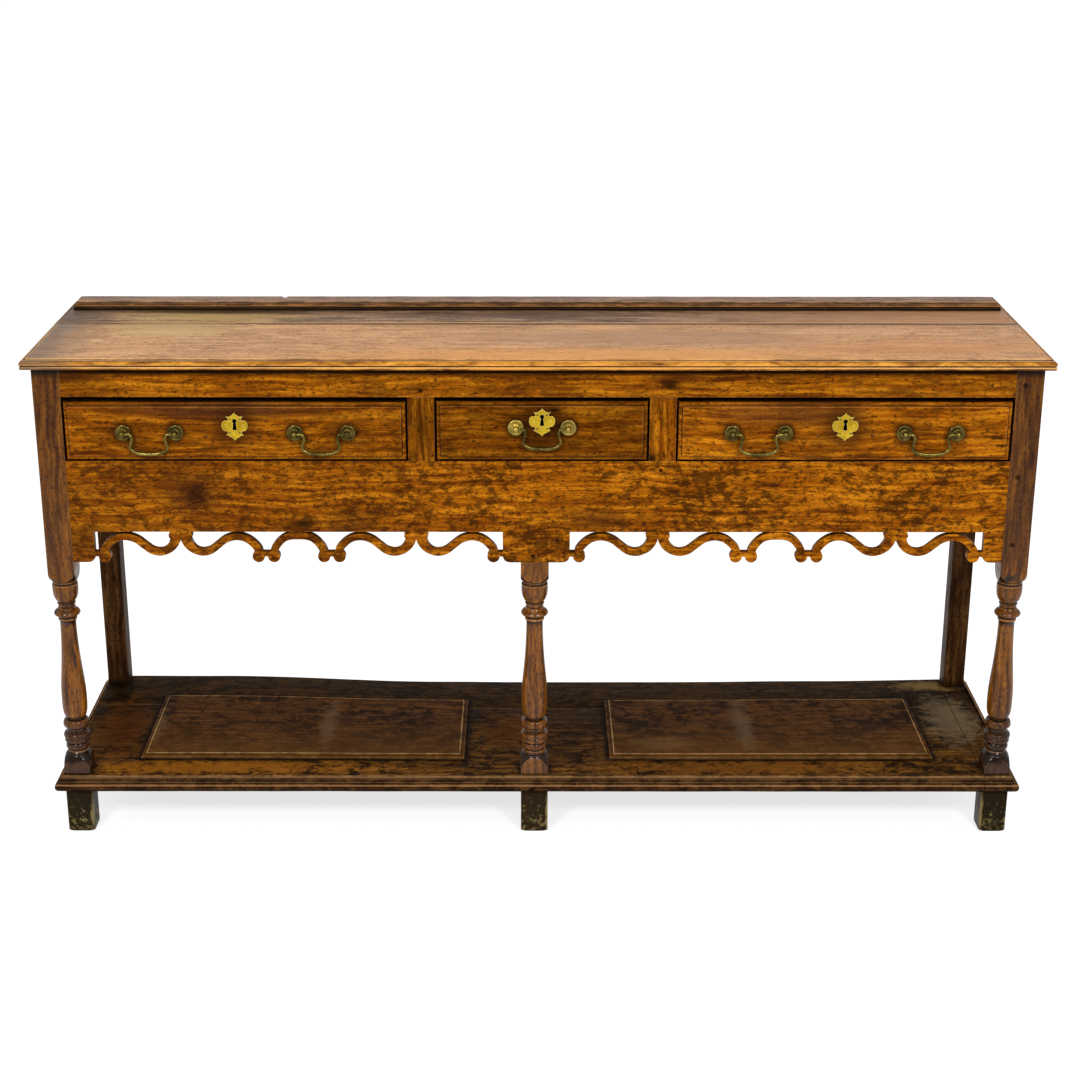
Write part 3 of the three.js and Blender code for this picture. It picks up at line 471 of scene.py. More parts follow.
def veil(tone, axis, full, none, strength, ragged=60 * MM):
    """A tone laid over the wood, full at one place along an axis and gone at the other, with a ragged end."""
    def apply(tree, marks):
        end = add(tree, "Math", [marks["blotch"], ragged, marks["parts"].outputs[axis]], operation="MULTIPLY_ADD")
        share = add(tree, "MapRange", [end, full + ragged / 2, none + ragged / 2, strength, 0.0])
        return share, tone
    return apply


def patch(tone, centre, half, strength, ragged=2.2):
    """A tone in a ragged patch round a place, with half sizes along X, Y and Z."""
    def apply(tree, marks):
        near = add(tree, "Mapping", {
            "Vector": marks["place"], "Scale": [1 / h for h in half],
            "Location": [-c / h for c, h in zip(centre, half)]})
        outline = add(tree, "VectorMath", [near], operation="LENGTH").outputs["Value"]
        for noise, depth in ((marks["blotch"], ragged), (marks["fleck"], ragged / 2)):
            outline = add(tree, "Math", [noise, -depth, outline], operation="MULTIPLY_ADD")
        share = add(tree, "MapRange", [outline, 0.4 - 0.75 * ragged, 1 - 0.75 * ragged, strength, 0.0])
        return share, tone
    return apply


def soiled(places, tone, inner, outer, strength):
    """Polish and dirt left round these places, full inside one radius and gone at another."""
    def apply(tree, marks):
        nearest, *others = [
            add(tree, "VectorMath", [marks["place"], spot], operation="DISTANCE").outputs["Value"] for spot in places]
        for gap in others:
            nearest = add(tree, "Math", [nearest, gap], operation="MINIMUM")
        ragged = add(tree, "Math", [marks["blotch"], inner - outer, nearest], operation="MULTIPLY_ADD")
        spread = (outer - inner) / 2
        share = add(
            tree, "MapRange", [ragged, inner - spread, inner + spread, strength, 0.0],
            interpolation_type="SMOOTHSTEP")
        return share, tone
    return apply


def line(tone, axis, centre, half, strength, ragged=0.0):
    """A thin line straight across an axis, for an open joint, for painted shade in the quirks and grooves of a
    moulding, and for its pale crests, worn and painted as highlights; on a moulding it stays off what faces up."""
    def apply(tree, marks):
        off = add(tree, "Math", [marks["parts"].outputs[axis], centre], operation="SUBTRACT")
        off = add(tree, "Math", [off], operation="ABSOLUTE")
        off = add(tree, "Math", [marks["blotch"], -ragged, off], operation="MULTIPLY_ADD")
        share = add(tree, "MapRange", [off, half - ragged / 2, (half - ragged) / 2, 0.0, strength])
        if axis == "Z":
            share = add(tree, "Math", [share, marks["not_flat"]], operation="MULTIPLY")
        return share, tone
    return apply


def beside_panels(tone, width, strength):
    """A tone on the board round each raised panel: dirt lying against its edge, and painted shade beside it."""
    low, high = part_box("pot_board_raised_panel_right")

    def apply(tree, marks):
        gaps = []
        across = add(tree, "Math", [marks["parts"].outputs["X"]], operation="ABSOLUTE")
        for place, a, b in ((across, low.x, high.x), (marks["parts"].outputs["Y"], low.y, high.y)):
            off = add(tree, "Math", [place, (a + b) / 2], operation="SUBTRACT")
            off = add(tree, "Math", [off], operation="ABSOLUTE")
            gaps.append(add(tree, "Math", [off, (b - a) / 2], operation="SUBTRACT"))
        gap = add(tree, "Math", gaps, operation="MAXIMUM")
        share = add(tree, "MapRange", [gap, width, width / 3, 0.0, strength])
        return share, tone
    return apply


def slopes(tone, strength, lean, low, high):
    """A tone on every part between two heights that leans away from upright."""
    def apply(tree, marks):
        steep = add(tree, "Math", [marks["rise"]], operation="ABSOLUTE")
        share = add(tree, "MapRange", [steep, lean, lean + 0.15, 0.0, strength])
        for end, fade in ((low, -2 * MM), (high, 2 * MM)):
            within = add(tree, "MapRange", [marks["parts"].outputs["Z"], end + fade, end])
            share = add(tree, "Math", [share, within], operation="MULTIPLY")
        return share, tone
    return apply


def edging(tones, strength=1.0):
    """Streaked tones on the moulded edge, everywhere that doesn't face up."""
    def apply(tree, marks):
        share = add(tree, "Math", [marks["not_flat"], strength], operation="MULTIPLY")
        return share, add(
            tree, "ValToRGB", [marks["blotch"]], [(0.36, tones[0]), (0.5, tones[1]), (0.62, tones[2])])
    return apply


def scuffed(tone, low, high, strength):
    """Scraped specks, most at the low height and none at the high one, and thickest along the edges."""
    def apply(tree, marks):
        near = add(tree, "MapRange", [marks["parts"].outputs["Z"], high, low, 0.0, 0.17])
        speck = add(tree, "TexNoise", {
            "Vector": marks["place"], "Scale": 1 / SPECK_SIZE, "Detail": 6.0, "Roughness": 0.72})
        scrape = add(tree, "Math", [marks["edge"], 0.3, speck], operation="MULTIPLY_ADD")
        scrape = add(tree, "Math", [scrape, near], operation="ADD")
        share = add(tree, "MapRange", [scrape, 0.64, 0.8, 0.0, strength])
        within = add(tree, "MapRange", [near, 0.0, 0.02])
        share = add(tree, "Math", [share, within], operation="MULTIPLY")
        return share, tone
    return apply


def brass(name, body, dark, rubbed, gloss):
    """Old brass: olive brown where it is dull, yellow where hands have rubbed it, black in its corners."""
    material, tree = new_material(name)
    place = add(tree, "TexCoord").outputs["Object"]
    tarnish = add(tree, "TexNoise", {"Vector": place, "Scale": 1 / TARNISH_SIZE, "Detail": 3.0, "Roughness": 0.5})
    colour = add(tree, "ValToRGB", [tarnish], [(0.38, dark), (0.6, body)])
    facing = add(tree, "NewGeometry").outputs["Normal"]
    rounded = add(tree, "Bevel", {"Radius": BRASS_WEAR}, samples=6)
    turn = add(tree, "VectorMath", [facing, rounded], operation="DISTANCE").outputs["Value"]
    crevice = add(tree, "AmbientOcclusion", {"Distance": BRASS_GRIME}, samples=6).outputs["AO"]
    touched = add(tree, "MapRange", [turn, 0.12, 0.4, 0.0, 0.9])
    in_reach = add(tree, "MapRange", [crevice, 0.5, 0.8])
    edge = add(tree, "Math", [touched, in_reach], operation="MULTIPLY")
    colour = add(tree, "MixRGB", [edge, colour, rubbed])
    grime = add(tree, "MapRange", [crevice, 0.6, 0.25, 0.0, 0.8])
    colour = add(tree, "MixRGB", [grime, colour, "#140f06"])
    dull = add(tree, "MapRange", [tarnish, 0.3, 0.7, gloss + 0.1, gloss])
    bump = add(tree, "Bump", {"Height": tarnish, "Strength": 0.05, "Distance": CASTING_DEPTH})
    shader = add(tree, "BsdfPrincipled", {"Base Color": colour, "Metallic": 1.0, "Roughness": dull, "Normal": bump})
    add(tree, "OutputMaterial", {"Surface": shader})
    return material


def iron(name):
    """Forged iron gone brown: matt, with rust in its pits."""
    material, tree = new_material(name)
    place = add(tree, "TexCoord").outputs["Object"]
    rust = add(tree, "TexNoise", {"Vector": place, "Scale": 1 / RUST_SIZE, "Detail": 6.0, "Roughness": 0.7})
    colour = add(tree, "ValToRGB", [rust], [(0.35, "#2b2523"), (0.52, "#3a2f29"), (0.68, "#5b3722")])
    metal = add(tree, "MapRange", [rust, 0.4, 0.62, 0.9, 0.2])
    bump = add(tree, "Bump", {"Height": rust, "Strength": 0.4, "Distance": RUST_DEPTH})
    shader = add(tree, "BsdfPrincipled", {"Base Color": colour, "Metallic": metal, "Roughness": 0.6, "Normal": bump})
    add(tree, "OutputMaterial", {"Surface": shader})
    return material


def middle(node):
    low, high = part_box(node)
    return tuple((low + high) / 2)


DRAWERS = {  # how dark each front is, and how low it hangs, in millimetres
    "left_drawer": (0.12, 4.6), "middle_drawer": (0.45, 3), "right_drawer": (0, 3.8)}
HANDLES = {
    "left_drawer_left_bail": "left_drawer", "left_drawer_right_bail": "left_drawer",
    "middle_drawer_bail": "middle_drawer",
    "right_drawer_left_bail": "right_drawer", "right_drawer_right_bail": "right_drawer"}
brass_places = [middle(handle + rose) for handle in HANDLES for rose in ("_rose_left", "_rose_right")]
plate_places = [middle(drawer + "_escutcheon") for drawer in DRAWERS]

GOLDEN = ("#562604", "#8c4c06", "#bc7412")
RED_BROWN = ("#3c1c04", "#6e3e0a", "#925a18")
DARK_OAK = ("#281404", "#52330b", "#80531a")
DRY_OAK = ("#5f4228", "#8c6a45", "#ac8a5e")
DIRT, DRY_DIRT = "#241004", "#2e2014"
PALE_WORN = "#d89c66"
WARM_WHITE = "#ffd8b0"  # what the tops reflect
FRONT_FACE, DRAWER_FACE, TOP_FACE = -0.214, -0.219, 0.895  # metres, where marks lie

# Quartered oak under old beeswax: golden orange, with dark dirt held in its grain, and a painted shadow along its top
# under the top's overhang.
rail_oak = oak("waxed_oak_rail", "X", GOLDEN, DIRT, mottle=0.5, worn=PALE_WORN, extras=[
    veil(SOOT_AND_SHADE, "Z", 0.869, 0.862, 0.92, 0.012),
    patch(SOOT_AND_SHADE, (0.224, FRONT_FACE, 0.85), (0.026, 0.03, 0.011), 0.9, 2.4),  # a knot over the right upright
    patch("#3a1a08", (0.236, FRONT_FACE, 0.862), (0.05, 0.03, 0.014), 0.55),
    patch("#3a1c08", (-0.79, FRONT_FACE, 0.866), (0.06, 0.03, 0.02), 0.7)])
# The same oak in a board wide enough to show its knots, the darkest where hands and mops have been.
apron_oak = oak(
    "waxed_oak_apron", "X", GOLDEN, DIRT, mottle=0.8, blotches=(20, 12), pores=0.7, worn="#b8741c", wear=0.5, extras=[
        veil("#4a2408", "X", -0.7, 0.1, 0.3, 0.3),
        patch(SOOT_AND_SHADE, (-0.592, FRONT_FACE, 0.65), (0.024, 0.03, 0.026), 0.92, 4),  # the largest knot
        patch("#30140a", (-0.6, FRONT_FACE, 0.655), (0.055, 0.03, 0.045), 0.6, 3),
        patch(SOOT_AND_SHADE, (-0.408, FRONT_FACE, 0.598), (0.03, 0.03, 0.01), 0.85, 3),
        patch(SOOT_AND_SHADE, (0.0345, FRONT_FACE, 0.568), (0.006, 0.03, 0.006), 0.9),
        patch("#2c1408", (-0.33, FRONT_FACE, 0.6), (0.05, 0.03, 0.03), 0.5, 3),  # stains over the fret
        patch("#2c1408", (0.1, FRONT_FACE, 0.61), (0.06, 0.03, 0.025), 0.6, 3),
        patch(SOOT_AND_SHADE, (0.66, FRONT_FACE, 0.603), (0.014, 0.03, 0.012), 0.8, 3),
        patch("#2c1408", (-0.78, FRONT_FACE, 0.57), (0.04, 0.03, 0.03), 0.5, 3)])
# Drawer fronts, with a dark halo round each brass where polish has built up.
drawer_oak = oak(
    "waxed_oak_drawer_front", "X", GOLDEN, DIRT, mottle=0.5, pores=0.5, worn="#bc7c3c", wear=0.6, extras=[
        patch("#3c2014", (-0.54, DRAWER_FACE, 0.806), (0.2, 0.04, 0.022), 0.75, 1.4),
        patch("#4a2812", (0.42, DRAWER_FACE, 0.8), (0.15, 0.04, 0.03), 0.6, 1.4),
        soiled(brass_places, "#1a0a04", 12 * MM, 26 * MM, 0.9),
        soiled(plate_places, "#281006", 18 * MM, 60 * MM, 0.75),
        patch(SOOT_AND_SHADE, (0.0284, DRAWER_FACE, 0.805), (0.012, 0.03, 0.006), 0.9, 3),
        patch(SOOT_AND_SHADE, (0.785, DRAWER_FACE, 0.757), (0.03, 0.03, 0.004), 0.9, 4),  # two short splits
        patch(SOOT_AND_SHADE, (0.795, DRAWER_FACE, 0.742), (0.014, 0.03, 0.004), 0.9, 4)])
# The upright pieces between the drawers, with the grain standing.
upright_oak = oak("waxed_oak_upright", "Z", GOLDEN, DIRT, mottle=0.6, worn=PALE_WORN, extras=[
    patch(SOOT_AND_SHADE, (0.192, FRONT_FACE, 0.717), (0.016, 0.03, 0.011), 0.92, 3),
    patch("#281006", (-0.2, FRONT_FACE, 0.78), (0.014, 0.03, 0.05), 0.5, 3)])
# Turned legs: redder, glossy on the beads from handling, black with floor dirt at the foot, with painted shade in
# their grooves, on the turned shoulders of both blocks and under the top's overhang.
GROOVES = (159.5, 172.8, 183.5, 195, 220, 417.3, 437, 444.8, 481.2, 487)  # millimetres up the turning
LEG_MARKS = [
    *[line(SOOT_AND_SHADE, "Z", height * MM, 1.7 * MM, 0.85, 0.6 * MM) for height in GROOVES],
    veil("#2a1408", "Z", 0.56, 0.47, 0.35), veil(SOOT_AND_SHADE, "Z", 0.868, 0.858, 0.8, 0.014),
    slopes(SOOT_AND_SHADE, 0.92, 0.12, 0.122, 0.153), slopes(SOOT_AND_SHADE, 0.9, 0.08, 0.4875, 0.513)]
FOOT_MARKS = [
    veil("#1e1b12", "Z", 0.09, 0.1, 0.92, 0.02), scuffed("#8c7c4c", 0.0, 0.085, 0.8),
    *[patch("#84744a", (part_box(name)[side].x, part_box(name)[0].y, 0.036), (5 * MM, 14 * MM, 0.05), 0.75, 2.4)
      for name, side in (("front_post_left", 1), ("front_leg_middle", 1), ("front_post_right", 0))]]
post_oak = oak(
    "polished_oak_turned", "Z", RED_BROWN, "#1e0c04", mottle=0.45, blotches=(60, 10), pores=0.5, worn="#a8784c",
    gloss=0.34, shine=0.03, coat=0.45, extras=[veil("#201410", "Z", 0.2, 0.24, 0.78, 0.03), *LEG_MARKS, *FOOT_MARKS])
# The middle leg, which knees have kept cleaner.
middle_post_oak = oak(
    "polished_oak_turned_middle", "Z", RED_BROWN, "#1e0c04", mottle=0.4, blotches=(60, 10), pores=0.5, worn="#b88858",
    gloss=0.32, shine=0.03, coat=0.5, extras=[veil("#2c1810", "Z", 0.1, 0.26, 0.5, 0.03), *LEG_MARKS, *FOOT_MARKS])
# Plain back legs, never polished.
back_post_oak = oak(
    "dull_oak_back_leg", "Z", ("#1c0e06", "#38220f", "#54381c"), "#0e0703", mottle=0.7, blotches=(60, 12), gloss=0.5,
    extras=[veil("#241610", "Z", 0.5, 0.2, 0.4, 0.2), veil("#28231a", "Z", 0.09, 0.1, 0.85, 0.02)])
# The top: golden brown under a satin polish, its face painted paler and pinker than its edges for the polish's
# sheen, bare and pale where things have stood, grey at its left end.
# Its moulded edge: painted shade in its quirks and along its underside, and a painted highlight on its lower bead.
TOP_EDGE_MARKS = [
    edging(("#562a08", "#a06410", "#d8942e")),
    line(SOOT_AND_SHADE, "Z", 0.8931, 2.1 * MM, 0.95, 1 * MM), line(SOOT_AND_SHADE, "Z", 0.8845, 1.6 * MM, 0.9, 1 * MM),  # painted shade in its quirks
    line("#e8b880", "Z", 0.8818, 1.4 * MM, 0.55, 1 * MM), veil("#2a1206", "Z", 0.878, 0.881, 0.8, 2 * MM)]
top_oak = oak(
    "satin_oak_top", "X", ("#ae7648", "#c08c5c", "#d0a06c"), "#54301a", mottle=0.3, blotches=(70, 16), pores=0.35,
    worn="#e8b070", gloss=0.34, shine=0.16, tint=WARM_WHITE, extras=[
        *TOP_EDGE_MARKS,
        line("#201006", "Y", 0.0308, 8.5 * MM, 0.92, 2 * MM),  # the open joint, drawn wide enough to show
        patch("#cc8838", (0.1, -0.19, TOP_FACE), (0.6, 0.06, 0.1), 0.7, 1.8),  # golden along the front
        patch("#b87840", (0.66, -0.14, TOP_FACE), (0.3, 0.06, 0.1), 0.6, 1.8),
        patch("#98704e", (0.2, -0.07, TOP_FACE), (0.36, 0.07, 0.1), 0.7, 1.8),
        patch("#c49468", (0.56, -0.02, TOP_FACE), (0.16, 0.04, 0.1), 0.6, 1.8),
        patch("#bc9860", (-0.65, 0.0, TOP_FACE), (0.17, 0.1, 0.1), 0.8, 2.6),  # the bleached place
        veil("#5a4a3e", "X", -0.85, -0.77, 0.75, 0.06)])
# Its back board, which has had less light and more dust.
back_top_oak = oak(
    "satin_oak_top_back", "X", ("#54382a", "#82644e", "#a88464"), "#30200e", mottle=0.6, blotches=(70, 16), pores=0.5,
    worn="#b08868", gloss=0.38, shine=0.16, tint=WARM_WHITE, extras=[
        *TOP_EDGE_MARKS,
        line("#cc9050", "Y", 0.04, 5 * MM, 0.6, 4 * MM), veil("#a4744e", "X", 0.7, 0.2, 0.75, 0.2),
        line("#201006", "Y", 0.0314, 5.6 * MM, 0.92, 1 * MM),
        patch("#4a3226", (-0.05, 0.1, TOP_FACE), (0.3, 0.03, 0.1), 0.7, 1.4),
        patch("#a8864c", (-0.6, 0.085, TOP_FACE), (0.2, 0.07, 0.1), 0.75, 2.6),
        veil("#4e4036", "X", -0.84, -0.76, 0.8, 0.06),
        patch("#281608", (-0.58, 0.122, TOP_FACE), (0.2, 0.02, 0.1), 0.85, 1.6)])  # dust against the ledge
# The moulded ledge, nearly black along its front, with painted shade in its quirk and along its foot.
ledge_oak = oak(
    "dull_oak_ledge", "X", ("#604636", "#8a6c58", "#a4826a"), "#281810", mottle=0.4, blotches=(50, 10), worn="#b08c64",
    wear=0.5, gloss=0.42, shine=0.14, tint=WARM_WHITE, extras=[
        edging(("#1c0c06", "#5a3416", "#94602c"), 0.95), line(SOOT_AND_SHADE, "Z", 0.9072, 1.2 * MM, 0.9, 0.6 * MM),
        veil(SOOT_AND_SHADE, "Z", 0.9, 0.902, 0.95, 2 * MM), line("#b07a34", "Z", 0.9028, 1.2 * MM, 0.7, 1 * MM)])
# The pot board: nearly black with soot and wear, and painted darker towards the back as shade under the carcase;
# golden where feet and pots have rubbed it along the front. Its moulded edge has painted shade in its quirks and
# along its foot, and pale crests, worn and painted as highlights.
pot_oak = oak(
    "worn_oak_pot_board", "X", DARK_OAK, SOOT_AND_SHADE, mottle=0.92, blotches=(26, 18), pores=0.4, worn="#946f48", gloss=0.5,
    shine=0.015, extras=[
        patch("#92580e", (-0.6, -0.185, 0.115), (0.34, 0.035, 0.03), 0.6, 2.8),
        patch("#7c4a0e", (0.4, -0.185, 0.115), (0.34, 0.035, 0.03), 0.5, 2.8),
        veil("#181008", "Y", 0.06, -0.19, 0.76, 0.1),
        patch("#4a2404", (-0.79, -0.02, 0.115), (0.06, 0.15, 0.03), 0.6, 2),
        patch("#5a3204", (-0.05, -0.02, 0.115), (0.08, 0.12, 0.03), 0.5, 2.5),
        patch(SOOT_AND_SHADE, (-0.842, 0.107, 0.115), (0.008, 0.012, 0.02), 0.9),
        patch("#7a6a50", (0.8, 0.03, 0.11), (0.06, 0.14, 0.03), 0.5, 1.6),  # dust at the right end
        patch("#84683c", (0.8, 0.2, 0.11), (0.1, 0.03, 0.03), 0.6, 2),
        beside_panels(SOOT_AND_SHADE, 13 * MM, 0.9),
        edging(("#140b06", "#2e1c10", "#523618"), 0.95),
        line("#946e48", "Z", 0.1122, 1.6 * MM, 0.6, 2 * MM), line(SOOT_AND_SHADE, "Z", 0.1094, 1.6 * MM, 0.9, 1 * MM),
        line(SOOT_AND_SHADE, "Z", 0.1038, 1.8 * MM, 0.85, 1.4 * MM), line("#8c6440", "Z", 0.1, 2 * MM, 0.6, 3 * MM),
        line("#1c1008", "Z", 0.0962, 1.4 * MM, 0.5, 2 * MM), veil(SOOT_AND_SHADE, "Z", 0.0885, 0.0925, 0.9, 3 * MM),
        line(SOOT_AND_SHADE, "X", 0.813, 1.2 * MM, 0.8)])  # the joint of the right end's strip
panel_oak = oak(
    "worn_oak_raised_panel", "X", ("#321a08", "#46280a", "#5c3810"), SOOT_AND_SHADE, mottle=0.85, blotches=(30, 26), pores=0.3,
    worn="#b8905c", wear=0.95, gloss=0.46, shine=0.015, tint="#ffc8a0", extras=[
        edging(("#1c0f08", "#4a2c18", "#7c5434"), 0.9),
        veil("#5c3a12", "Y", -0.14, 0.0, 0.5, 0.1),
        patch("#6a523c", (-0.397, 0.0, 0.123), (0.02, 0.12, 0.02), 0.4, 1),  # scuffs across the panels
        patch("#786450", (0.395, 0.0, 0.12), (0.024, 0.15, 0.03), 0.24, 1.2),
        patch("#7c5c34", (0.24, -0.09, 0.12), (0.07, 0.04, 0.03), 0.24, 1.2),
        patch("#6a5238", (-0.72, -0.02, 0.12), (0.016, 0.1, 0.02), 0.3, 2.5)])
side_oak = oak("dull_oak_end_board", "Y", RED_BROWN, "#1c0e07", mottle=0.5, gloss=0.5)
# Inside, oak that no polish has reached: dry and pale brown.
inside_oak = oak("dry_oak_long_grain", "X", DRY_OAK, DRY_DIRT, mottle=0.3, gloss=0.66)
inside_oak_deep = oak("dry_oak_deep_grain", "Y", DRY_OAK, DRY_DIRT, mottle=0.3, gloss=0.66)
# End grain of riven pegs and plugs, which drinks the polish and goes black.
peg_oak = oak("oak_peg_end_grain", "Y", ("#160a04", "#2c160a", "#48280f"), SOOT_AND_SHADE, mottle=0.5, worn="#48280f")
plug_oak = oak("oak_plug_end_grain", "Y", ("#34180a", "#5a3212", "#6e421a"), SOOT_AND_SHADE, mottle=0.4, worn="#6e421a")
# Cast brass, left to tarnish to olive.
handle_brass = brass("tarnished_cast_brass", "#7c6c34", "#4e421e", "#bca868", 0.3)
# The same, rubbed bright by the most used drawer.
rubbed_brass = brass("rubbed_cast_brass", "#c0a850", "#968040", "#e8d48c", 0.34)
# Sheet brass, still yellow.
plate_brass = brass("yellow_sheet_brass", "#dcb830", "#b49020", "#f4e08c", 0.4)
# Locks, of forged iron.
lock_iron = iron("forged_iron")


# Boards of the carcase

# Each edge, from the flat of the face outwards and down: (inset, drop) straight, or bent towards a control point.
TOP_EDGE = in_mm((13, 0), [
    (10.2, 0.06), (9.4, 2.4), (9, 4.2), (6.8, 4.4), (6.4, 2), (0.3, 2.2, 0, 9.2), (1.2, 10.2), (2.8, 10.8),
    (0.7, 11.2, 0.7, 14), (0.7, 17.4, 3, 18)])
LEDGE_EDGE = in_mm((9, 0), [
    (6.4, 0.06), (5.4, 1.4), (5, 4), (3.2, 4), (0.4, 4.2, 0, 8.4), (2.6, 9.8), (0.2, 10.4, 0.2, 13),
    (0.2, 15.8, 2, 16)])
POT_EDGE = in_mm((13.4, 0), [
    (11, 0.06), (10.2, 1.6), (9.8, 4.8), (8, 5), (7.4, 8.4, 4.8, 10.4), (5, 11.4), (0.2, 12, 0, 18.6),
    (0.2, 25.6, 5.4, 28.6), (8, 30)])
PANEL_EDGE = in_mm((11, 0), [(8.2, 0.06), (7.6, 2.4), (5.4, 2.8), (0.6, 3, 0, 5.6), (0.2, 8)])
THUMBNAIL_EDGE = in_mm((9.4, 0), [(7, 0.06), (6.6, 2.4), (5.2, 2.6), (0.4, 2.8, 0, 6.5)])
PAD_EDGE = in_mm((5, 0), [(1, 0.4, 0, 4.3)])
CORNER_RADIUS = 34 * MM  # the top's back left corner
NICK_LEFT, NICK_RIGHT, NICK_DEPTH, NICK_DROP = -476 * MM, -468 * MM, 9 * MM, 2.5 * MM  # a chip in the ledge


def top():
    front = moulded_board(*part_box("top_front_board"), TOP_EDGE, "LRF")
    back_low, back_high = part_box("top_back_board")
    back = moulded_board(back_low, back_high, TOP_EDGE, "LR")
    hub = Vector((back_low.x + CORNER_RADIUS, back_high.y - CORNER_RADIUS, back_high.z))
    corner = block((back_low.x - OVERRUN, hub.y, back_low.z - OVERRUN),
                   (hub.x, back_high.y + OVERRUN, back_high.z + OVERRUN))
    boolean(corner, [rod(hub, CORNER_RADIUS, 100 * MM, "Z", 64)])
    boolean(back, [corner])
    for board, name, material in ((front, "top_front_board", top_oak), (back, "top_back_board", back_top_oak)):
        soften(board, FINE_ARRIS / 2, angle=60)
        crosscut(board, 0, 45 * MM)
        crosscut(board, 1, 60 * MM)
        weather(board, 130 * MM, 0.9 * MM)
        hand_over(board, name + "_waxed", material, [name])
    low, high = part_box("top_ledge")
    ledge = moulded_board(low, high, LEDGE_EDGE, "LRF")
    boolean(ledge, [block((NICK_LEFT, high.y - NICK_DEPTH, high.z - NICK_DROP),
                          (NICK_RIGHT, high.y + OVERRUN, high.z + OVERRUN))])
    soften(ledge, FINE_ARRIS, angle=60)
    crosscut(ledge, 0, 30 * MM)
    weather(ledge, 50 * MM, 1.2 * MM)
    hand_over(ledge, "top_ledge_worn", ledge_oak, ["top_ledge"])


def rails():
    for name, material, slot, darkness in (
            ("top_rail", rail_oak, "oak_front", 0.1), ("muntin_left", upright_oak, "oak_front", 0.45),
            ("muntin_right", upright_oak, "oak_front", 0.15), ("end_panel_left", side_oak, "oak_post", 0),
            ("end_panel_right", side_oak, "oak_post", 0), ("back_panel", inside_oak, "oak_inside", 0)):
        board = soften(copy_of(name), FINE_ARRIS)
        hand_over(board, name + "_planed", material, [name], darkness=darkness)


# Turned legs

CORNER_SHARE = 1.47  # past the square's corners, so that the blocks stay square
FOOT_SHARES = [(1.1, 0), (1.34, 0.002), (1.43, 0.009), (1.45, 0.02), (CORNER_SHARE, 0.025)]  # radius, metres up
TURNING_BOTTOM, TURNING_TOP, MORTISE_BOTTOM = 122, 516, 540  # millimetres up
# The turning, from the lower block's shoulders up, as radius over half the leg, and height in millimetres: (r, z)
# straight, or bent towards a control point first.
TURNING = [
    (1.3, 138, 1.0, 148), (0.97, 151, 0.86, 152.4), (0.8, 153), (0.8, 158), (0.72, 158.6), (0.72, 160.4),
    (0.92, 161, 0.9, 166.5), (0.88, 171.4, 0.79, 172.2), (0.76, 173.4),  # a swelling
    (1.0, 174, 0.96, 179), (0.95, 182, 0.91, 183), (1.05, 184, 1.0, 188.4), (0.98, 192.6, 0.8, 193),  # two ridges
    (0.72, 194.5), (0.78, 198, 0.72, 202.6),  # a hollow
    (1.03, 203, 0.98, 210.6), (0.96, 218, 0.74, 218.4), (0.64, 219), (0.64, 221.2),  # a bead and its quirk
    (0.92, 224, 0.94, 243), (0.98, 270, 0.88, 296), (0.76, 326), (0.6, 368, 0.6, 411),  # the vase and its neck
    (0.7, 411.6), (0.7, 415.6), (0.6, 416.2), (0.6, 418.4),  # a fillet and a quirk
    (0.98, 419.2, 0.99, 425), (0.92, 429.4, 0.72, 431.6), (0.6, 436, 0.65, 442.6),  # a ring, and a hollow neck
    (0.7, 443), (0.6, 444), (0.6, 445.6), (0.82, 449, 0.92, 459), (0.99, 470, 0.95, 479.4),  # an urn, undercut
    (0.84, 480.2), (0.84, 482.2), (0.94, 482.8, 0.93, 486), (0.8, 486.6), (0.8, 487.4), (1.0, 488),  # its lip
    (1.38, 494, CORNER_SHARE, TURNING_TOP)]  # shoulders of the upper block


def leg(name, darkness=0.0):
    """A square post turned between its blocks, whose flat faces end in arches at the turned shoulders."""
    low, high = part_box(name)
    size = high.x - low.x
    half = size / 2
    axis = Vector((low.x + half, low.y + half, 0))
    profile = [(r * half, z) for r, z in FOOT_SHARES]
    profile += strokes((CORNER_SHARE * half, TURNING_BOTTOM * MM), scaled(TURNING, half, MM), 7)
    profile = [(0, 0), *profile, (CORNER_SHARE * half, high.z + OVERRUN), (0, high.z + OVERRUN)]
    turning = turned([(axis.x + r, axis.y, z) for r, z in profile], axis, (0, 0, 1), 64)
    give_relief(turning, axis, profile)
    post = soften(block(low, (high.x, low.y + size, high.z)), ARRIS, segments=3)
    boolean(post, [turning], "INTERSECT")
    if name == "front_leg_middle":
        material, lap = middle_post_oak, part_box("apron")
        cutter = block((low.x - OVERRUN, low.y - OVERRUN, lap[0].z), (high.x + OVERRUN, lap[1].y, high.z + OVERRUN))
    else:
        material = post_oak
        cutter = hollows(name, (low.x, low.y, MORTISE_BOTTOM * MM), (high.x, high.y, high.z - OVERRUN))
    boolean(post, [cutter])
    crosscut(post, 2, 30 * MM)
    hand_over(post, name + "_turned", material, [name], smooth=24, darkness=darkness)


def legs():
    leg("front_post_left", 0.05)
    leg("front_post_right", 0.2)
    leg("front_leg_middle")
    for name in ("back_post_left", "back_post_right"):
        post = soften(copy_of(name), ARRIS, segments=3)
        hand_over(post, name + "_square", back_post_oak, [name])


# Apron and fret

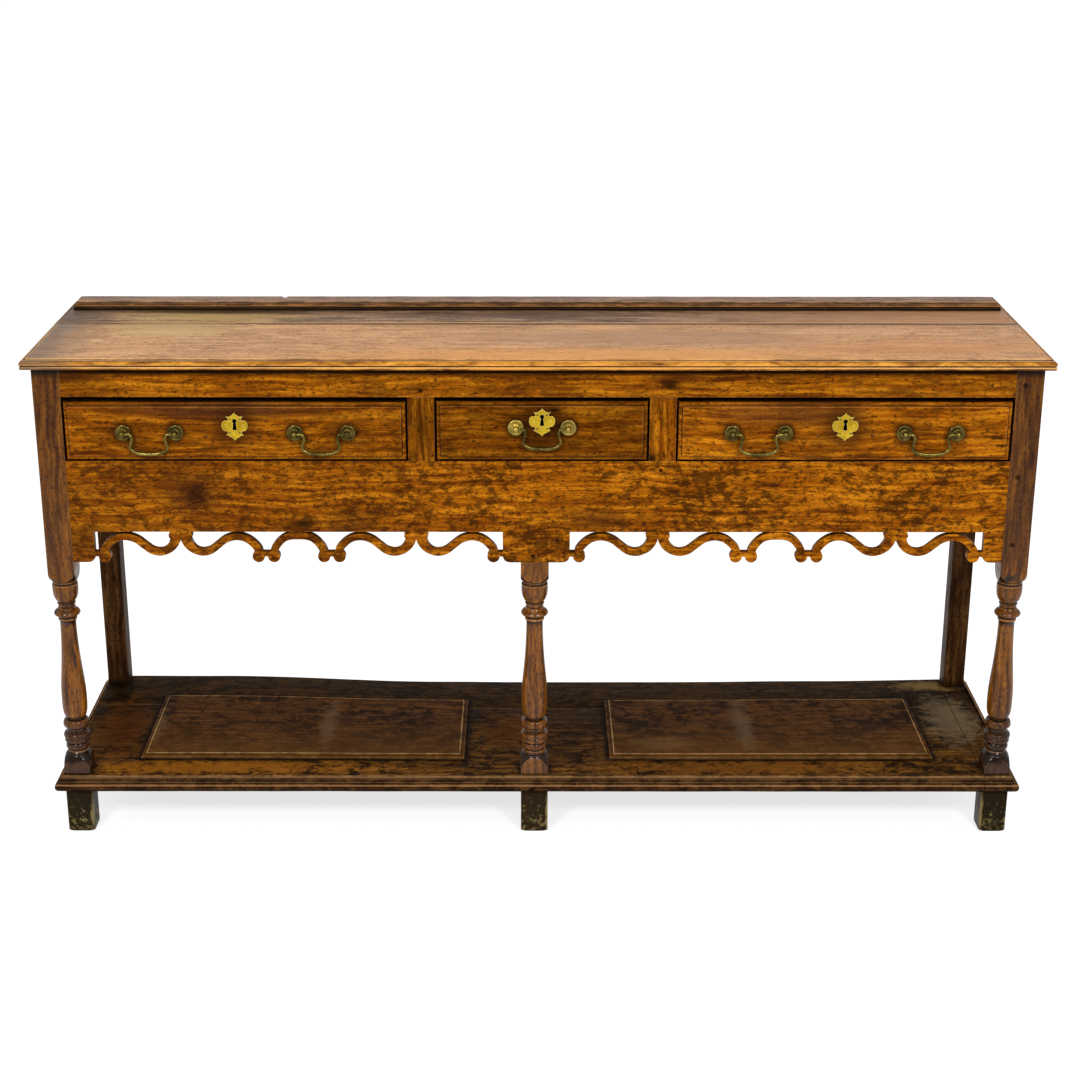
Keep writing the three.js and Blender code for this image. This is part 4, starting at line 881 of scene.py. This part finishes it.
FRET_DROP = 56.5 * MM
BAND_WIDTH = 12.2 * MM
MIDDLE_BLOCK = (-60.9 * MM, 56.1 * MM)  # its two sides
END_BLOCKS = (-774 * MM, 779 * MM)  # their inner sides
BLOCK_RADIUS, BALL_RADIUS, CURL_RADIUS = 14 * MM, 10.7 * MM, 7 * MM
BALL_PAIR, BALL_TO_BLOCK, ARCH_SPAN, WEB_HEIGHT = 27 * MM, 16.4 * MM, 87.5 * MM, 8.5 * MM
DISC_SIDES = 32
SCROLL_SHARES = [  # across the half scallop, down the fret, and the band's width
    (0.07, -0.08, 1.55), (0.07, 0.25, 1.5), (0.125, 0.5, 1.25), (0.2, 0.635, 1.02), (0.285, 0.68, 1),
    (0.385, 0.62, 1), (0.48, 0.445, 1), (0.58, 0.26, 1), (0.71, 0.17, 1), (0.84, 0.225, 1), (0.94, 0.4, 1.05),
    (1.005, 0.62, 1.1), (1.0, 0.8, 1.1)]
ARCH_SHARES = [  # the same across the half arch
    (0, 0.13, 1.1), (0.3, 0.145, 1.05), (0.58, 0.225, 1), (0.82, 0.4, 1.05), (0.985, 0.62, 1.1), (1.0, 0.8, 1.1)]


def band(shares, origin, reach, way, board_edge):
    """A scroll of changing width along a smooth line, as an outline in X and Z."""
    line = spline([(origin + way * a * reach, board_edge - d * FRET_DROP, w * BAND_WIDTH) for a, d, w in shares], 5)
    left, right = [], []
    for i, spot in enumerate(line):
        before, after = line[max(i - 1, 0)], line[min(i + 1, len(line) - 1)]
        across = Vector((before.y - after.y, after.x - before.x)).normalized() * spot.z / 2
        left.append((spot.x + across.x, spot.y + across.y))
        right.insert(0, (spot.x - across.x, spot.y - across.y))
    return left + right


def disc(x, z, radius):
    angles = [math.tau * k / DISC_SIDES for k in range(DISC_SIDES)]
    return [(x + radius * math.cos(a), z + radius * math.sin(a)) for a in angles]


def hanging_block(x0, x1, bottom, top_edge, round_left, round_right):
    """A block hanging from the board, with lower corners rounded or square."""
    left, right = [(x0, bottom)], [(x1, bottom)]
    if round_left:
        left = [(x0, bottom + BLOCK_RADIUS), (x0, bottom, x0 + BLOCK_RADIUS, bottom)]
    if round_right:
        right = [(x1 - BLOCK_RADIUS, bottom), (x1, bottom, x1, bottom + BLOCK_RADIUS)]
    return strokes((x0, top_edge), [*left, *right, (x1, top_edge)], MOULDING_STEPS)


def fret_half(x0, x1, edge):
    """A scallop, an arch and a scallop between two blocks."""
    ball_height = edge - FRET_DROP + BALL_RADIUS
    scallop = (x1 - x0 - 2 * BALL_TO_BLOCK - 2 * BALL_PAIR - ARCH_SPAN) / 2
    first, last = x0 + BALL_TO_BLOCK, x1 - BALL_TO_BLOCK
    arch_left = first + scallop + BALL_PAIR
    arch_right = arch_left + ARCH_SPAN
    outlines = []
    for cusp in (first + scallop / 2, last - scallop / 2):
        for way in (-1, 1):
            outlines.append(band(SCROLL_SHARES, cusp, scallop / 2, way, edge))
            outlines.append(disc(cusp + way * scallop / 2, ball_height, BALL_RADIUS))
            outlines.append(disc(cusp + way * 2 * CURL_RADIUS, edge - CURL_RADIUS, CURL_RADIUS))
    crown = (arch_left + arch_right) / 2
    for way in (-1, 1):
        outlines.append(band(ARCH_SHARES, crown, ARCH_SPAN / 2, way, edge))
        outlines.append(disc(crown + way * ARCH_SPAN / 2, ball_height, BALL_RADIUS))
    joins = (
        (x0 - OVERRUN, first), (arch_left - BALL_PAIR, arch_left), (arch_right, arch_right + BALL_PAIR),
        (last, x1 + OVERRUN))
    upper = ball_height + WEB_HEIGHT
    outlines += [[(a, ball_height), (b, ball_height), (b, upper), (a, upper)] for a, b in joins]
    return outlines


def apron():
    low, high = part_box("apron")
    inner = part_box("front_post_right")[0].x
    bottom = low.z
    edge = bottom + FRET_DROP
    outlines = fret_half(END_BLOCKS[0], MIDDLE_BLOCK[0], edge) + fret_half(MIDDLE_BLOCK[1], END_BLOCKS[1], edge)
    outlines.append(hanging_block(*MIDDLE_BLOCK, bottom, edge + OVERRUN, True, True))
    outlines.append(hanging_block(-inner, END_BLOCKS[0], bottom, edge + OVERRUN, False, True))
    outlines.append(hanging_block(END_BLOCKS[1], inner, bottom, edge + OVERRUN, True, False))
    board = block((-inner, low.y, edge), (inner, high.y, high.z))
    boolean(board, [sawn(outline, low.y, high.y) for outline in outlines], "UNION")
    open_up(board)
    bpy.ops.mesh.select_all(action="SELECT")
    bpy.ops.mesh.dissolve_limited(angle_limit=math.radians(1))
    bpy.ops.mesh.select_all(action="SELECT")
    bpy.ops.mesh.remove_doubles(threshold=FINE_ARRIS)
    close_up(board)
    soften(board, FINE_ARRIS, angle=60)
    hand_over(board, "apron_sawn_fret", apron_oak, ["apron"])


# Pot board

SAG_DEPTH, SAG_POWER = 14 * MM, 1.2  # how deep, and how it grows from front to back
SAG_SHARES = [(-0.86, 0.0), (-0.62, 0.04), (-0.19, 0.94), (0.0, 1.0), (0.2, 1.0), (0.6, 0.8), (0.86, 0.5)]
STRIP_GAP = 4 * MM  # the left strip has come away this far
PAD_LOW, PAD_HIGH, PAD_THICKNESS = (-0.857, 0.106), (-0.803, 0.19), 4 * MM
FAR = 0.3  # metres, past the pot board upwards and backwards


def sag(piece):
    """The back of the pot board has sunk between its ends; the front has stayed straight."""
    front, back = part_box("pot_board_front_plank")[0].y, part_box("pot_board_back_plank")[1].y
    for vertex in piece.data.vertices:
        x, y = vertex.co.x, vertex.co.y
        share = SAG_SHARES[0][1] if x < 0 else SAG_SHARES[-1][1]
        for (x0, s0), (x1, s1) in zip(SAG_SHARES, SAG_SHARES[1:]):
            if x0 <= x <= x1:
                t = (x - x0) / (x1 - x0)
                share = s0 + (s1 - s0) * t * t * (3 - 2 * t)
        vertex.co.z -= SAG_DEPTH * share * max(0.0, (y - front) / (back - front)) ** SAG_POWER
    return piece


def notch(name):
    """The room a leg needs in the planks."""
    low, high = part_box(name)
    size = high.x - low.x
    around = Vector((SEAM, SEAM, 0))
    low.z, high.z = 0, FAR
    return block(low - around, Vector((high.x, min(high.y, low.y + size), high.z)) + around)


def pot_board():
    low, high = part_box("pot_board_front_plank")
    front = moulded_board(low, high, POT_EDGE, "LRF")
    strip_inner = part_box("pot_board_edge_strip_right")[0].x
    past_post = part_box("front_post_right")[0].y
    back = copy_of("pot_board_back_plank")
    for plank in (front, back):
        for way, gap in ((-1, STRIP_GAP), (1, SEAM)):
            x0, x1 = sorted((way * (strip_inner - gap), way * (high.x + OVERRUN)))
            boolean(plank, [block((x0, past_post, low.z - OVERRUN), (x1, FAR, high.z + OVERRUN))])
    boolean(front, [notch(name) for name in ("front_post_left", "front_post_right", "front_leg_middle")])
    for plank, name in ((front, "pot_board_front_plank"), (back, "pot_board_back_plank")):
        soften(plank, FINE_ARRIS, angle=60)
        crosscut(plank, 0, 40 * MM)
        crosscut(plank, 1, 60 * MM)
        weather(sag(plank), 110 * MM, 1.0 * MM)
        hand_over(plank, name + "_worn", pot_oak, [name])
    pad = moulded_board((*PAD_LOW, high.z - SEAM), (*PAD_HIGH, high.z + PAD_THICKNESS), PAD_EDGE, "RF")
    hand_over(soften(pad, FINE_ARRIS), "pot_board_old_pad", pot_oak, darkness=0.5)
    for side, letter in (("left", "L"), ("right", "R")):
        name = "pot_board_edge_strip_" + side
        strip = moulded_board(*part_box(name), POT_EDGE, letter)
        soften(strip, FINE_ARRIS, angle=60)
        hand_over(strip, name + "_worn", pot_oak, [name])
        name = "pot_board_raised_panel_" + side
        panel = moulded_board(*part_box(name), PANEL_EDGE, "LRFB")
        crosscut(panel, 0, 40 * MM)
        crosscut(panel, 1, 60 * MM)
        weather(sag(panel), 100 * MM, 0.6 * MM)
        hand_over(panel, name + "_worn", panel_oak, [name])
        name = "pot_board_bearer_" + side
        hand_over(soften(copy_of(name), ARRIS), name + "_bar", side_oak, [name])


# Drawers


KEYHOLE_RADIUS, KEYHOLE_HEIGHT, KEYHOLE_RAISE = 3.9 * MM, 20 * MM, 3.5 * MM
KEYHOLE_WAIST, KEYHOLE_FOOT = 2.2 * MM, 3.7 * MM  # half widths of its slot
EYE_STEPS = 20
FRONT_RAISE = 2.2 * MM  # the gap under a drawer front


def keyhole_outline(x, z):
    """A round eye over a slot that widens downwards."""
    eye = z + KEYHOLE_RAISE + KEYHOLE_HEIGHT / 2 - KEYHOLE_RADIUS
    foot = z + KEYHOLE_RAISE - KEYHOLE_HEIGHT / 2
    dip = math.acos(KEYHOLE_WAIST / KEYHOLE_RADIUS)
    sweep = [-dip + (math.pi + 2 * dip) * k / EYE_STEPS for k in range(EYE_STEPS + 1)]
    points = [(x + KEYHOLE_RADIUS * math.cos(a), eye + KEYHOLE_RADIUS * math.sin(a)) for a in sweep]
    return [*points, (x - KEYHOLE_FOOT, foot), (x + KEYHOLE_FOOT, foot)]


def drawer_front(drawer, darkness, drop):
    """A thumbnail edge round the face, with the frame's sockets and groove behind it and the keyhole through it.
    Worn runners let it hang by the drop, under a wide dark gap."""
    name = drawer + "_front"
    low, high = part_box(name)
    depth = high.y - low.y
    bottom, crown = low.z + FRONT_RAISE, high.z - drop
    panel = moulded_board((low.x, bottom, -depth), (high.x, crown, 0), [*THUMBNAIL_EDGE, (0, depth)], "LRFB")
    focus(panel)
    panel.rotation_euler = (math.pi / 2, 0, 0)
    panel.location = (0, low.y, 0)
    settle(panel)
    whole = THUMBNAIL_EDGE[-1][1] + SEAM
    boolean(panel, [hollows(name, (low.x, low.y + whole, low.z), high)])
    centre = Vector(middle(drawer + "_escutcheon"))
    boolean(panel, [sawn(keyhole_outline(centre.x, centre.z), low.y - OVERRUN, high.y + OVERRUN)])
    hand_over(panel, name + "_waxed", drawer_oak, [name], drawer, 30, darkness)


def drawer_box(drawer):
    for part in ("side_left", "side_right", "back"):
        name = f"{drawer}_{part}"
        material = inside_oak if part == "back" else inside_oak_deep
        hand_over(soften(copy_of(name), FINE_ARRIS), name + "_planed", material, [name], drawer)


LOCK_SIZE = Vector((60 * MM, 9 * MM, 44 * MM))
LOCK_BOLT = Vector((26 * MM, 5 * MM, 3 * MM))
KEY_PIN_RADIUS, KEY_PIN_LENGTH, KEY_PIN_REACH = 1.2 * MM, 10 * MM, 3 * MM
NAIL_RADIUS, NAIL_HEIGHT, NAIL_ROUNDING = 2.4 * MM, 1.6 * MM, 0.6 * MM
NAIL_ACROSS, NAIL_UP = 0.4, 0.36  # shares of the case, from its middle


def lock(drawer):
    """An iron lock let in behind the keyhole, with its key pin, bolt and four nails."""
    centre = Vector(middle(drawer + "_escutcheon"))
    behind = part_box(drawer + "_front")[1].y + SEAM
    low = Vector((centre.x - LOCK_SIZE.x / 2, behind, centre.z + 2 * KEYHOLE_RAISE - LOCK_SIZE.z / 2))
    case = soften(block(low, low + LOCK_SIZE), ARRIS, segments=3)
    crown = low + Vector(((LOCK_SIZE.x - LOCK_BOLT.x) / 2, LOCK_SIZE.y / 4, LOCK_SIZE.z - OVERRUN))
    bolt = soften(block(crown, crown + LOCK_BOLT + Vector((0, 0, OVERRUN - LOCK_BOLT.z / 2))), FINE_ARRIS)
    eye = Vector((centre.x, behind, centre.z + KEYHOLE_RAISE + KEYHOLE_HEIGHT / 2 - KEYHOLE_RADIUS))
    parts = [bolt, rod(eye - Vector((0, KEY_PIN_REACH, 0)), KEY_PIN_RADIUS, KEY_PIN_LENGTH, "Y")]
    for x in (-NAIL_ACROSS, NAIL_ACROSS):
        for z in (-NAIL_UP, NAIL_UP):
            spot = low + LOCK_SIZE / 2 + Vector((x * LOCK_SIZE.x, LOCK_SIZE.y / 2, z * LOCK_SIZE.z))
            parts.append(soften(rod(spot, NAIL_RADIUS, NAIL_HEIGHT, "Y", 16), NAIL_ROUNDING))
    boolean(case, parts, "UNION")
    hand_over(case, drawer + "_lock", lock_iron, (), drawer)


# Brass

ROSE_SHARES = [  # radius over the plate's, height over the knob's
    (1, 0.05), (1, 0.15, 0.94, 0.16), (0.84, 0.17, 0.72, 0.12), (0.56, 0.07, 0.42, 0.1), (0.34, 0.13, 0.32, 0.3)]
ROSE_RADIUS, KNOB_REACH, KNOB_RADIUS, STEM_RADIUS = 13.6 * MM, 10.5 * MM, 5 * MM, 3 * MM
KNOB_STEPS = 14
PIN_HOLE_RADIUS, PIN_HOLE_DEPTH = 1.9 * MM, 4.6 * MM
KNOB_SPACING, BAIL_DROP = 90 * MM, 35 * MM
BAIL_SHARES = [  # across, down, and the radius in millimetres
    (0.976, 0, 1.6), (0.9, 0, 1.9), (0.82, 0, 2.2), (0.72, 0.01, 2.6), (0.645, 0.1, 2.8), (0.63, 0.26, 2.7),
    (0.68, 0.44, 2.6), (0.71, 0.62, 2.7), (0.655, 0.8, 2.9), (0.5, 0.93, 3.1), (0.3, 0.99, 3.3), (0.1, 1.01, 3.5),
    (0.04, 1.01, 3.8), (0.02, 1.01, 3.0), (0, 1.01, 3.0)]
PLATE_SHARES = [  # the right half of its outline, from the bottom up
    (0.1, -0.86, 0.26, -0.78), (0.42, -0.7, 0.5, -0.66), (0.64, -0.6), (0.54, -0.52, 0.5, -0.44),
    (0.5, -0.36, 0.6, -0.34), (0.86, -0.34, 0.95, -0.08), (1.0, 0.14, 0.92, 0.3), (0.82, 0.44, 0.62, 0.42),
    (0.48, 0.42, 0.48, 0.5), (0.52, 0.58, 0.64, 0.72), (0.5, 0.68, 0.38, 0.7), (0.22, 0.76, 0.16, 0.84),
    (0.06, 0.86, 0, 1)]
PLATE_PINS = ((-0.64, 0.04), (0.64, 0.04))
PLATE_PIERCINGS = ((-0.37, -0.46), (0.37, -0.46), (-0.36, 0.5), (0.36, 0.5))
PIERCING_RADIUS, PLATE_PIN_RADIUS, PLATE_PIN_HEIGHT, PLATE_BEVEL = 1.6 * MM, 2.2 * MM, 2 * MM, 0.8 * MM


def rose_pattern():
    """A dished plate with a rolled rim, and a ball knob drilled for the bail's pin on the side of +X."""
    profile = strokes((ROSE_RADIUS, 0), scaled(ROSE_SHARES, ROSE_RADIUS, KNOB_REACH), MOULDING_STEPS)
    neck = math.asin(STEM_RADIUS / KNOB_RADIUS)
    for k in range(KNOB_STEPS):
        angle = neck + (math.pi - neck) * k / KNOB_STEPS
        profile.append((KNOB_RADIUS * math.sin(angle), KNOB_REACH - KNOB_RADIUS * math.cos(angle)))
    profile = [(0, 0), *profile, (0, KNOB_REACH + KNOB_RADIUS)]
    plate = turned([(r, -h, 0) for r, h in profile], (0, 0, 0), (0, 1, 0), 48)
    drill = rod((2 * KNOB_RADIUS - PIN_HOLE_DEPTH, -KNOB_REACH, 0), PIN_HOLE_RADIUS, 2 * KNOB_RADIUS, "X")
    return boolean(plate, [drill])


def bail_pattern():
    """A swan-neck bail, thickest at the grip, with a small collar in its middle."""
    half = spline([(a * KNOB_SPACING / 2, -d * BAIL_DROP, r * MM) for a, d, r in BAIL_SHARES], 5)
    line = [*half, *[Vector((-p.x, p.y, p.z)) for p in reversed(half[:-1])]]
    close_up(trace([(p.x, 0, p.y) for p in line]))
    bpy.ops.object.convert(target="CURVE")
    wire = bpy.context.object
    thick = max(p.z for p in line)
    for point, place in zip(wire.data.splines[0].points, line):
        point.radius = place.z / thick
    wire.data.bevel_depth = thick
    wire.data.bevel_resolution = 5
    wire.data.use_fill_caps = True
    bpy.ops.object.convert(target="MESH")
    wire = bpy.context.object
    open_up(wire)
    bpy.ops.mesh.select_all(action="SELECT")
    bpy.ops.mesh.remove_doubles(threshold=WELD)
    return face_outwards(wire)


def another(pattern, place, turn=0.0):
    """A copy of a pattern with its own mesh, turned about the way it faces and set at a place."""
    piece = set_out(pattern.name, pattern.data.copy())
    piece.location = place
    piece.rotation_euler = (0, turn, 0)
    return settle(piece)


def escutcheon(drawer):
    """A fretted plate with bevelled edges, its keyhole, and two pins."""
    node = drawer + "_escutcheon"
    low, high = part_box(node)
    x, z = (low.x + high.x) / 2, (low.z + high.z) / 2
    half_width, half_height = (high.x - low.x) / 2, (high.z - low.z) / 2

    def rods(places, radius, length):
        return [rod((x + a * half_width, low.y, z + b * half_height), radius, length, "Y", 20) for a, b in places]

    right = strokes((0, -half_height), scaled(PLATE_SHARES, half_width, half_height), 5)
    outline = [(x + a, z + b) for a, b in right] + [(x - a, z + b) for a, b in reversed(right[1:-1])]
    plate = sawn(outline, low.y, high.y)
    keyhole = sawn(keyhole_outline(x, z), low.y - OVERRUN, high.y + OVERRUN)
    boolean(plate, [keyhole, *rods(PLATE_PIERCINGS, PIERCING_RADIUS, 8 * MM)])
    soften(plate, PLATE_BEVEL, segments=3, angle=50)
    pins = [soften(head, PLATE_BEVEL, segments=3) for head in rods(PLATE_PINS, PLATE_PIN_RADIUS, PLATE_PIN_HEIGHT)]
    boolean(plate, pins, "UNION")
    hand_over(plate, node + "_pierced", plate_brass, [node], drawer, 30)


def handles():
    rose, bail = rose_pattern(), bail_pattern()
    for node, drawer in HANDLES.items():
        pivots = []
        for side, turn in (("_rose_left", 0), ("_rose_right", math.pi)):
            low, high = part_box(node + side)
            seat = Vector(((low.x + high.x) / 2, high.y, (low.z + high.z) / 2))
            pivots.append(seat - Vector((0, KNOB_REACH, 0)))
            plate = another(rose, seat, turn)
            material = rubbed_brass if drawer == "middle_drawer" else handle_brass
            hand_over(plate, node + side + "_turned", material, [node + side], drawer, 50)
        wire = another(bail, (pivots[0] + pivots[1]) / 2)
        hand_over(wire, node + "_cast", handle_brass, [node], node, 60)
    bpy.data.objects.remove(rose)
    bpy.data.objects.remove(bail)


def drawers():
    for drawer, (darkness, drop) in DRAWERS.items():
        drawer_front(drawer, darkness, drop * MM)
        drawer_box(drawer)
        lock(drawer)
        escutcheon(drawer)


# Pegs, plugs and runners

PEG_DEPTH = 4 * MM
PEGS = [  # where, what face it stands in, and its radius in millimetres
    ((0.828, 0.848), "front_post_right", 4.2), ((0.828, 0.684), "front_post_right", 4.2),
    ((0.829, 0.560), "front_post_right", 4.2), ((-0.008, 0.538), "apron", 4.0),
    ((-0.200, 0.838), "top_rail", 3.6), ((0.212, 0.696), "apron", 3.6)]
PLUGS = [(-0.5687, 0.757), (-0.4766, 0.757), (0.4798, 0.760), (0.5722, 0.760)]


def peg(number, place, face, radius, proud, material, body):
    """A short peg in a face, proud of it by so many millimetres."""
    centre = (place[0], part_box(face)[0].y - proud * MM + PEG_DEPTH / 2, place[1])
    piece = soften(rod(centre, radius * MM, PEG_DEPTH, "Y", 20), FINE_ARRIS)
    hand_over(piece, f"oak_peg_{number}", material, (), body)


def fixings():
    """Riven pegs that pin the joints, a little proud, and plugs in the holes of older handles."""
    for number, (place, face, radius) in enumerate(PEGS, 1):
        peg(number, place, face, radius, 0.9, peg_oak, "root")
    for number, place in enumerate(PLUGS, len(PEGS) + 1):
        drawer = "left_drawer" if place[0] < 0 else "right_drawer"
        peg(number, place, drawer + "_front", 3.4, 0.3, plug_oak, drawer)


def plain_boards():
    """Frame pieces that keep their own shape."""
    for name in ("runner_left_end", "runner_left_muntin", "runner_right_muntin", "runner_right_end"):
        nodes[name].material_slots[0].material = inside_oak_deep
    for drawer in DRAWERS:
        nodes[drawer + "_bottom"].material_slots[0].material = inside_oak


# The camera, floor and light

CAMERA_PLACE = (-0.0175, -3.52025, 1.7508)
CAMERA_TILT, CAMERA_ROLL, CAMERA_TURN = 90 - 19.681, -0.05, -0.03  # degrees
SENSOR_WIDTH, LENS, LENS_SHIFT = 36, 67.06, 0.010
SOFTBOX_SIZE, SOFTBOX_POWER = 0.7, 80  # metres, watts
NEAR_FLOOR, FAR_FLOOR = -2.4, -1.1  # metres along Y: the floor's front tone ends and its back tone begins


def place_camera():
    """Where the photograph was taken from: standing height, a little left of the middle."""
    data = bpy.data.cameras.new("camera")
    data.sensor_width, data.lens, data.shift_x = SENSOR_WIDTH, LENS, LENS_SHIFT
    camera = set_out("camera", data)
    camera.location = CAMERA_PLACE
    camera.rotation_euler = [math.radians(angle) for angle in (CAMERA_TILT, CAMERA_ROLL, CAMERA_TURN)]
    bpy.context.scene.camera = camera


def softbox(name, place, target):
    data = bpy.data.lights.new(name, "AREA")
    data.shape = "RECTANGLE"
    data.size = data.size_y = SOFTBOX_SIZE
    data.energy = SOFTBOX_POWER
    lamp = set_out(name, data)
    lamp.location = place
    lamp.rotation_euler = (Vector(target) - Vector(place)).to_track_quat("-Z", "Y").to_euler()


def studio():
    """A white floor that glows, brightest at the back, so that shadows cast on it stay pale, and darkens in front,
    where the picture doesn't reach, a white tent that is darker behind the camera, and two soft boxes in front."""
    bpy.ops.object.select_all(action="DESELECT")
    bpy.ops.mesh.primitive_circle_add(vertices=96, radius=40, fill_type="NGON")
    floor = bpy.context.object
    floor.name = "floor"
    material, tree = new_material("pale_floor")
    depth = add(tree, "SeparateXYZ", [add(tree, "TexCoord").outputs["Object"]]).outputs["Y"]
    share = add(tree, "MapRange", [depth, NEAR_FLOOR, FAR_FLOOR])
    paper = add(tree, "MixRGB", [share, "#7c7c7c", "#a8a8a8"])
    glow = add(tree, "MapRange", [depth, NEAR_FLOOR, FAR_FLOOR, 0.2, 0.74])
    shader = add(tree, "BsdfPrincipled", {
        "Base Color": paper, "Roughness": 0.9, "Specular IOR Level": 0.1, "Emission Color": WHITE,
        "Emission Strength": glow})
    add(tree, "OutputMaterial", {"Surface": shader})
    floor.data.materials.append(material)
    world = bpy.data.worlds.new("studio")
    bpy.context.scene.world = world
    world.use_nodes = True
    tree = world.node_tree
    tree.nodes.clear()
    way = add(tree, "SeparateXYZ", [add(tree, "TexCoord").outputs["Generated"]])
    tent = add(tree, "ValToRGB", [way.outputs["Z"]], [(0.0, "#b0b0b0"), (0.7, WHITE)])
    strength = add(tree, "MapRange", [way.outputs["Y"], -0.8, 0.1, 0.6, 1.05])
    add(tree, "OutputWorld", {"Surface": add(tree, "Background", {"Color": tent, "Strength": strength})})
    for name, side in (("left_softbox", -1), ("right_softbox", 1)):
        softbox(name, (side * 1.6, -3.4, 2.7), (side * 0.3, 0, 0.5))
    bpy.context.scene.view_settings.view_transform = "Standard"


place_camera()
studio()
top()
rails()
legs()
apron()
pot_board()
drawers()
handles()
fixings()
plain_boards()
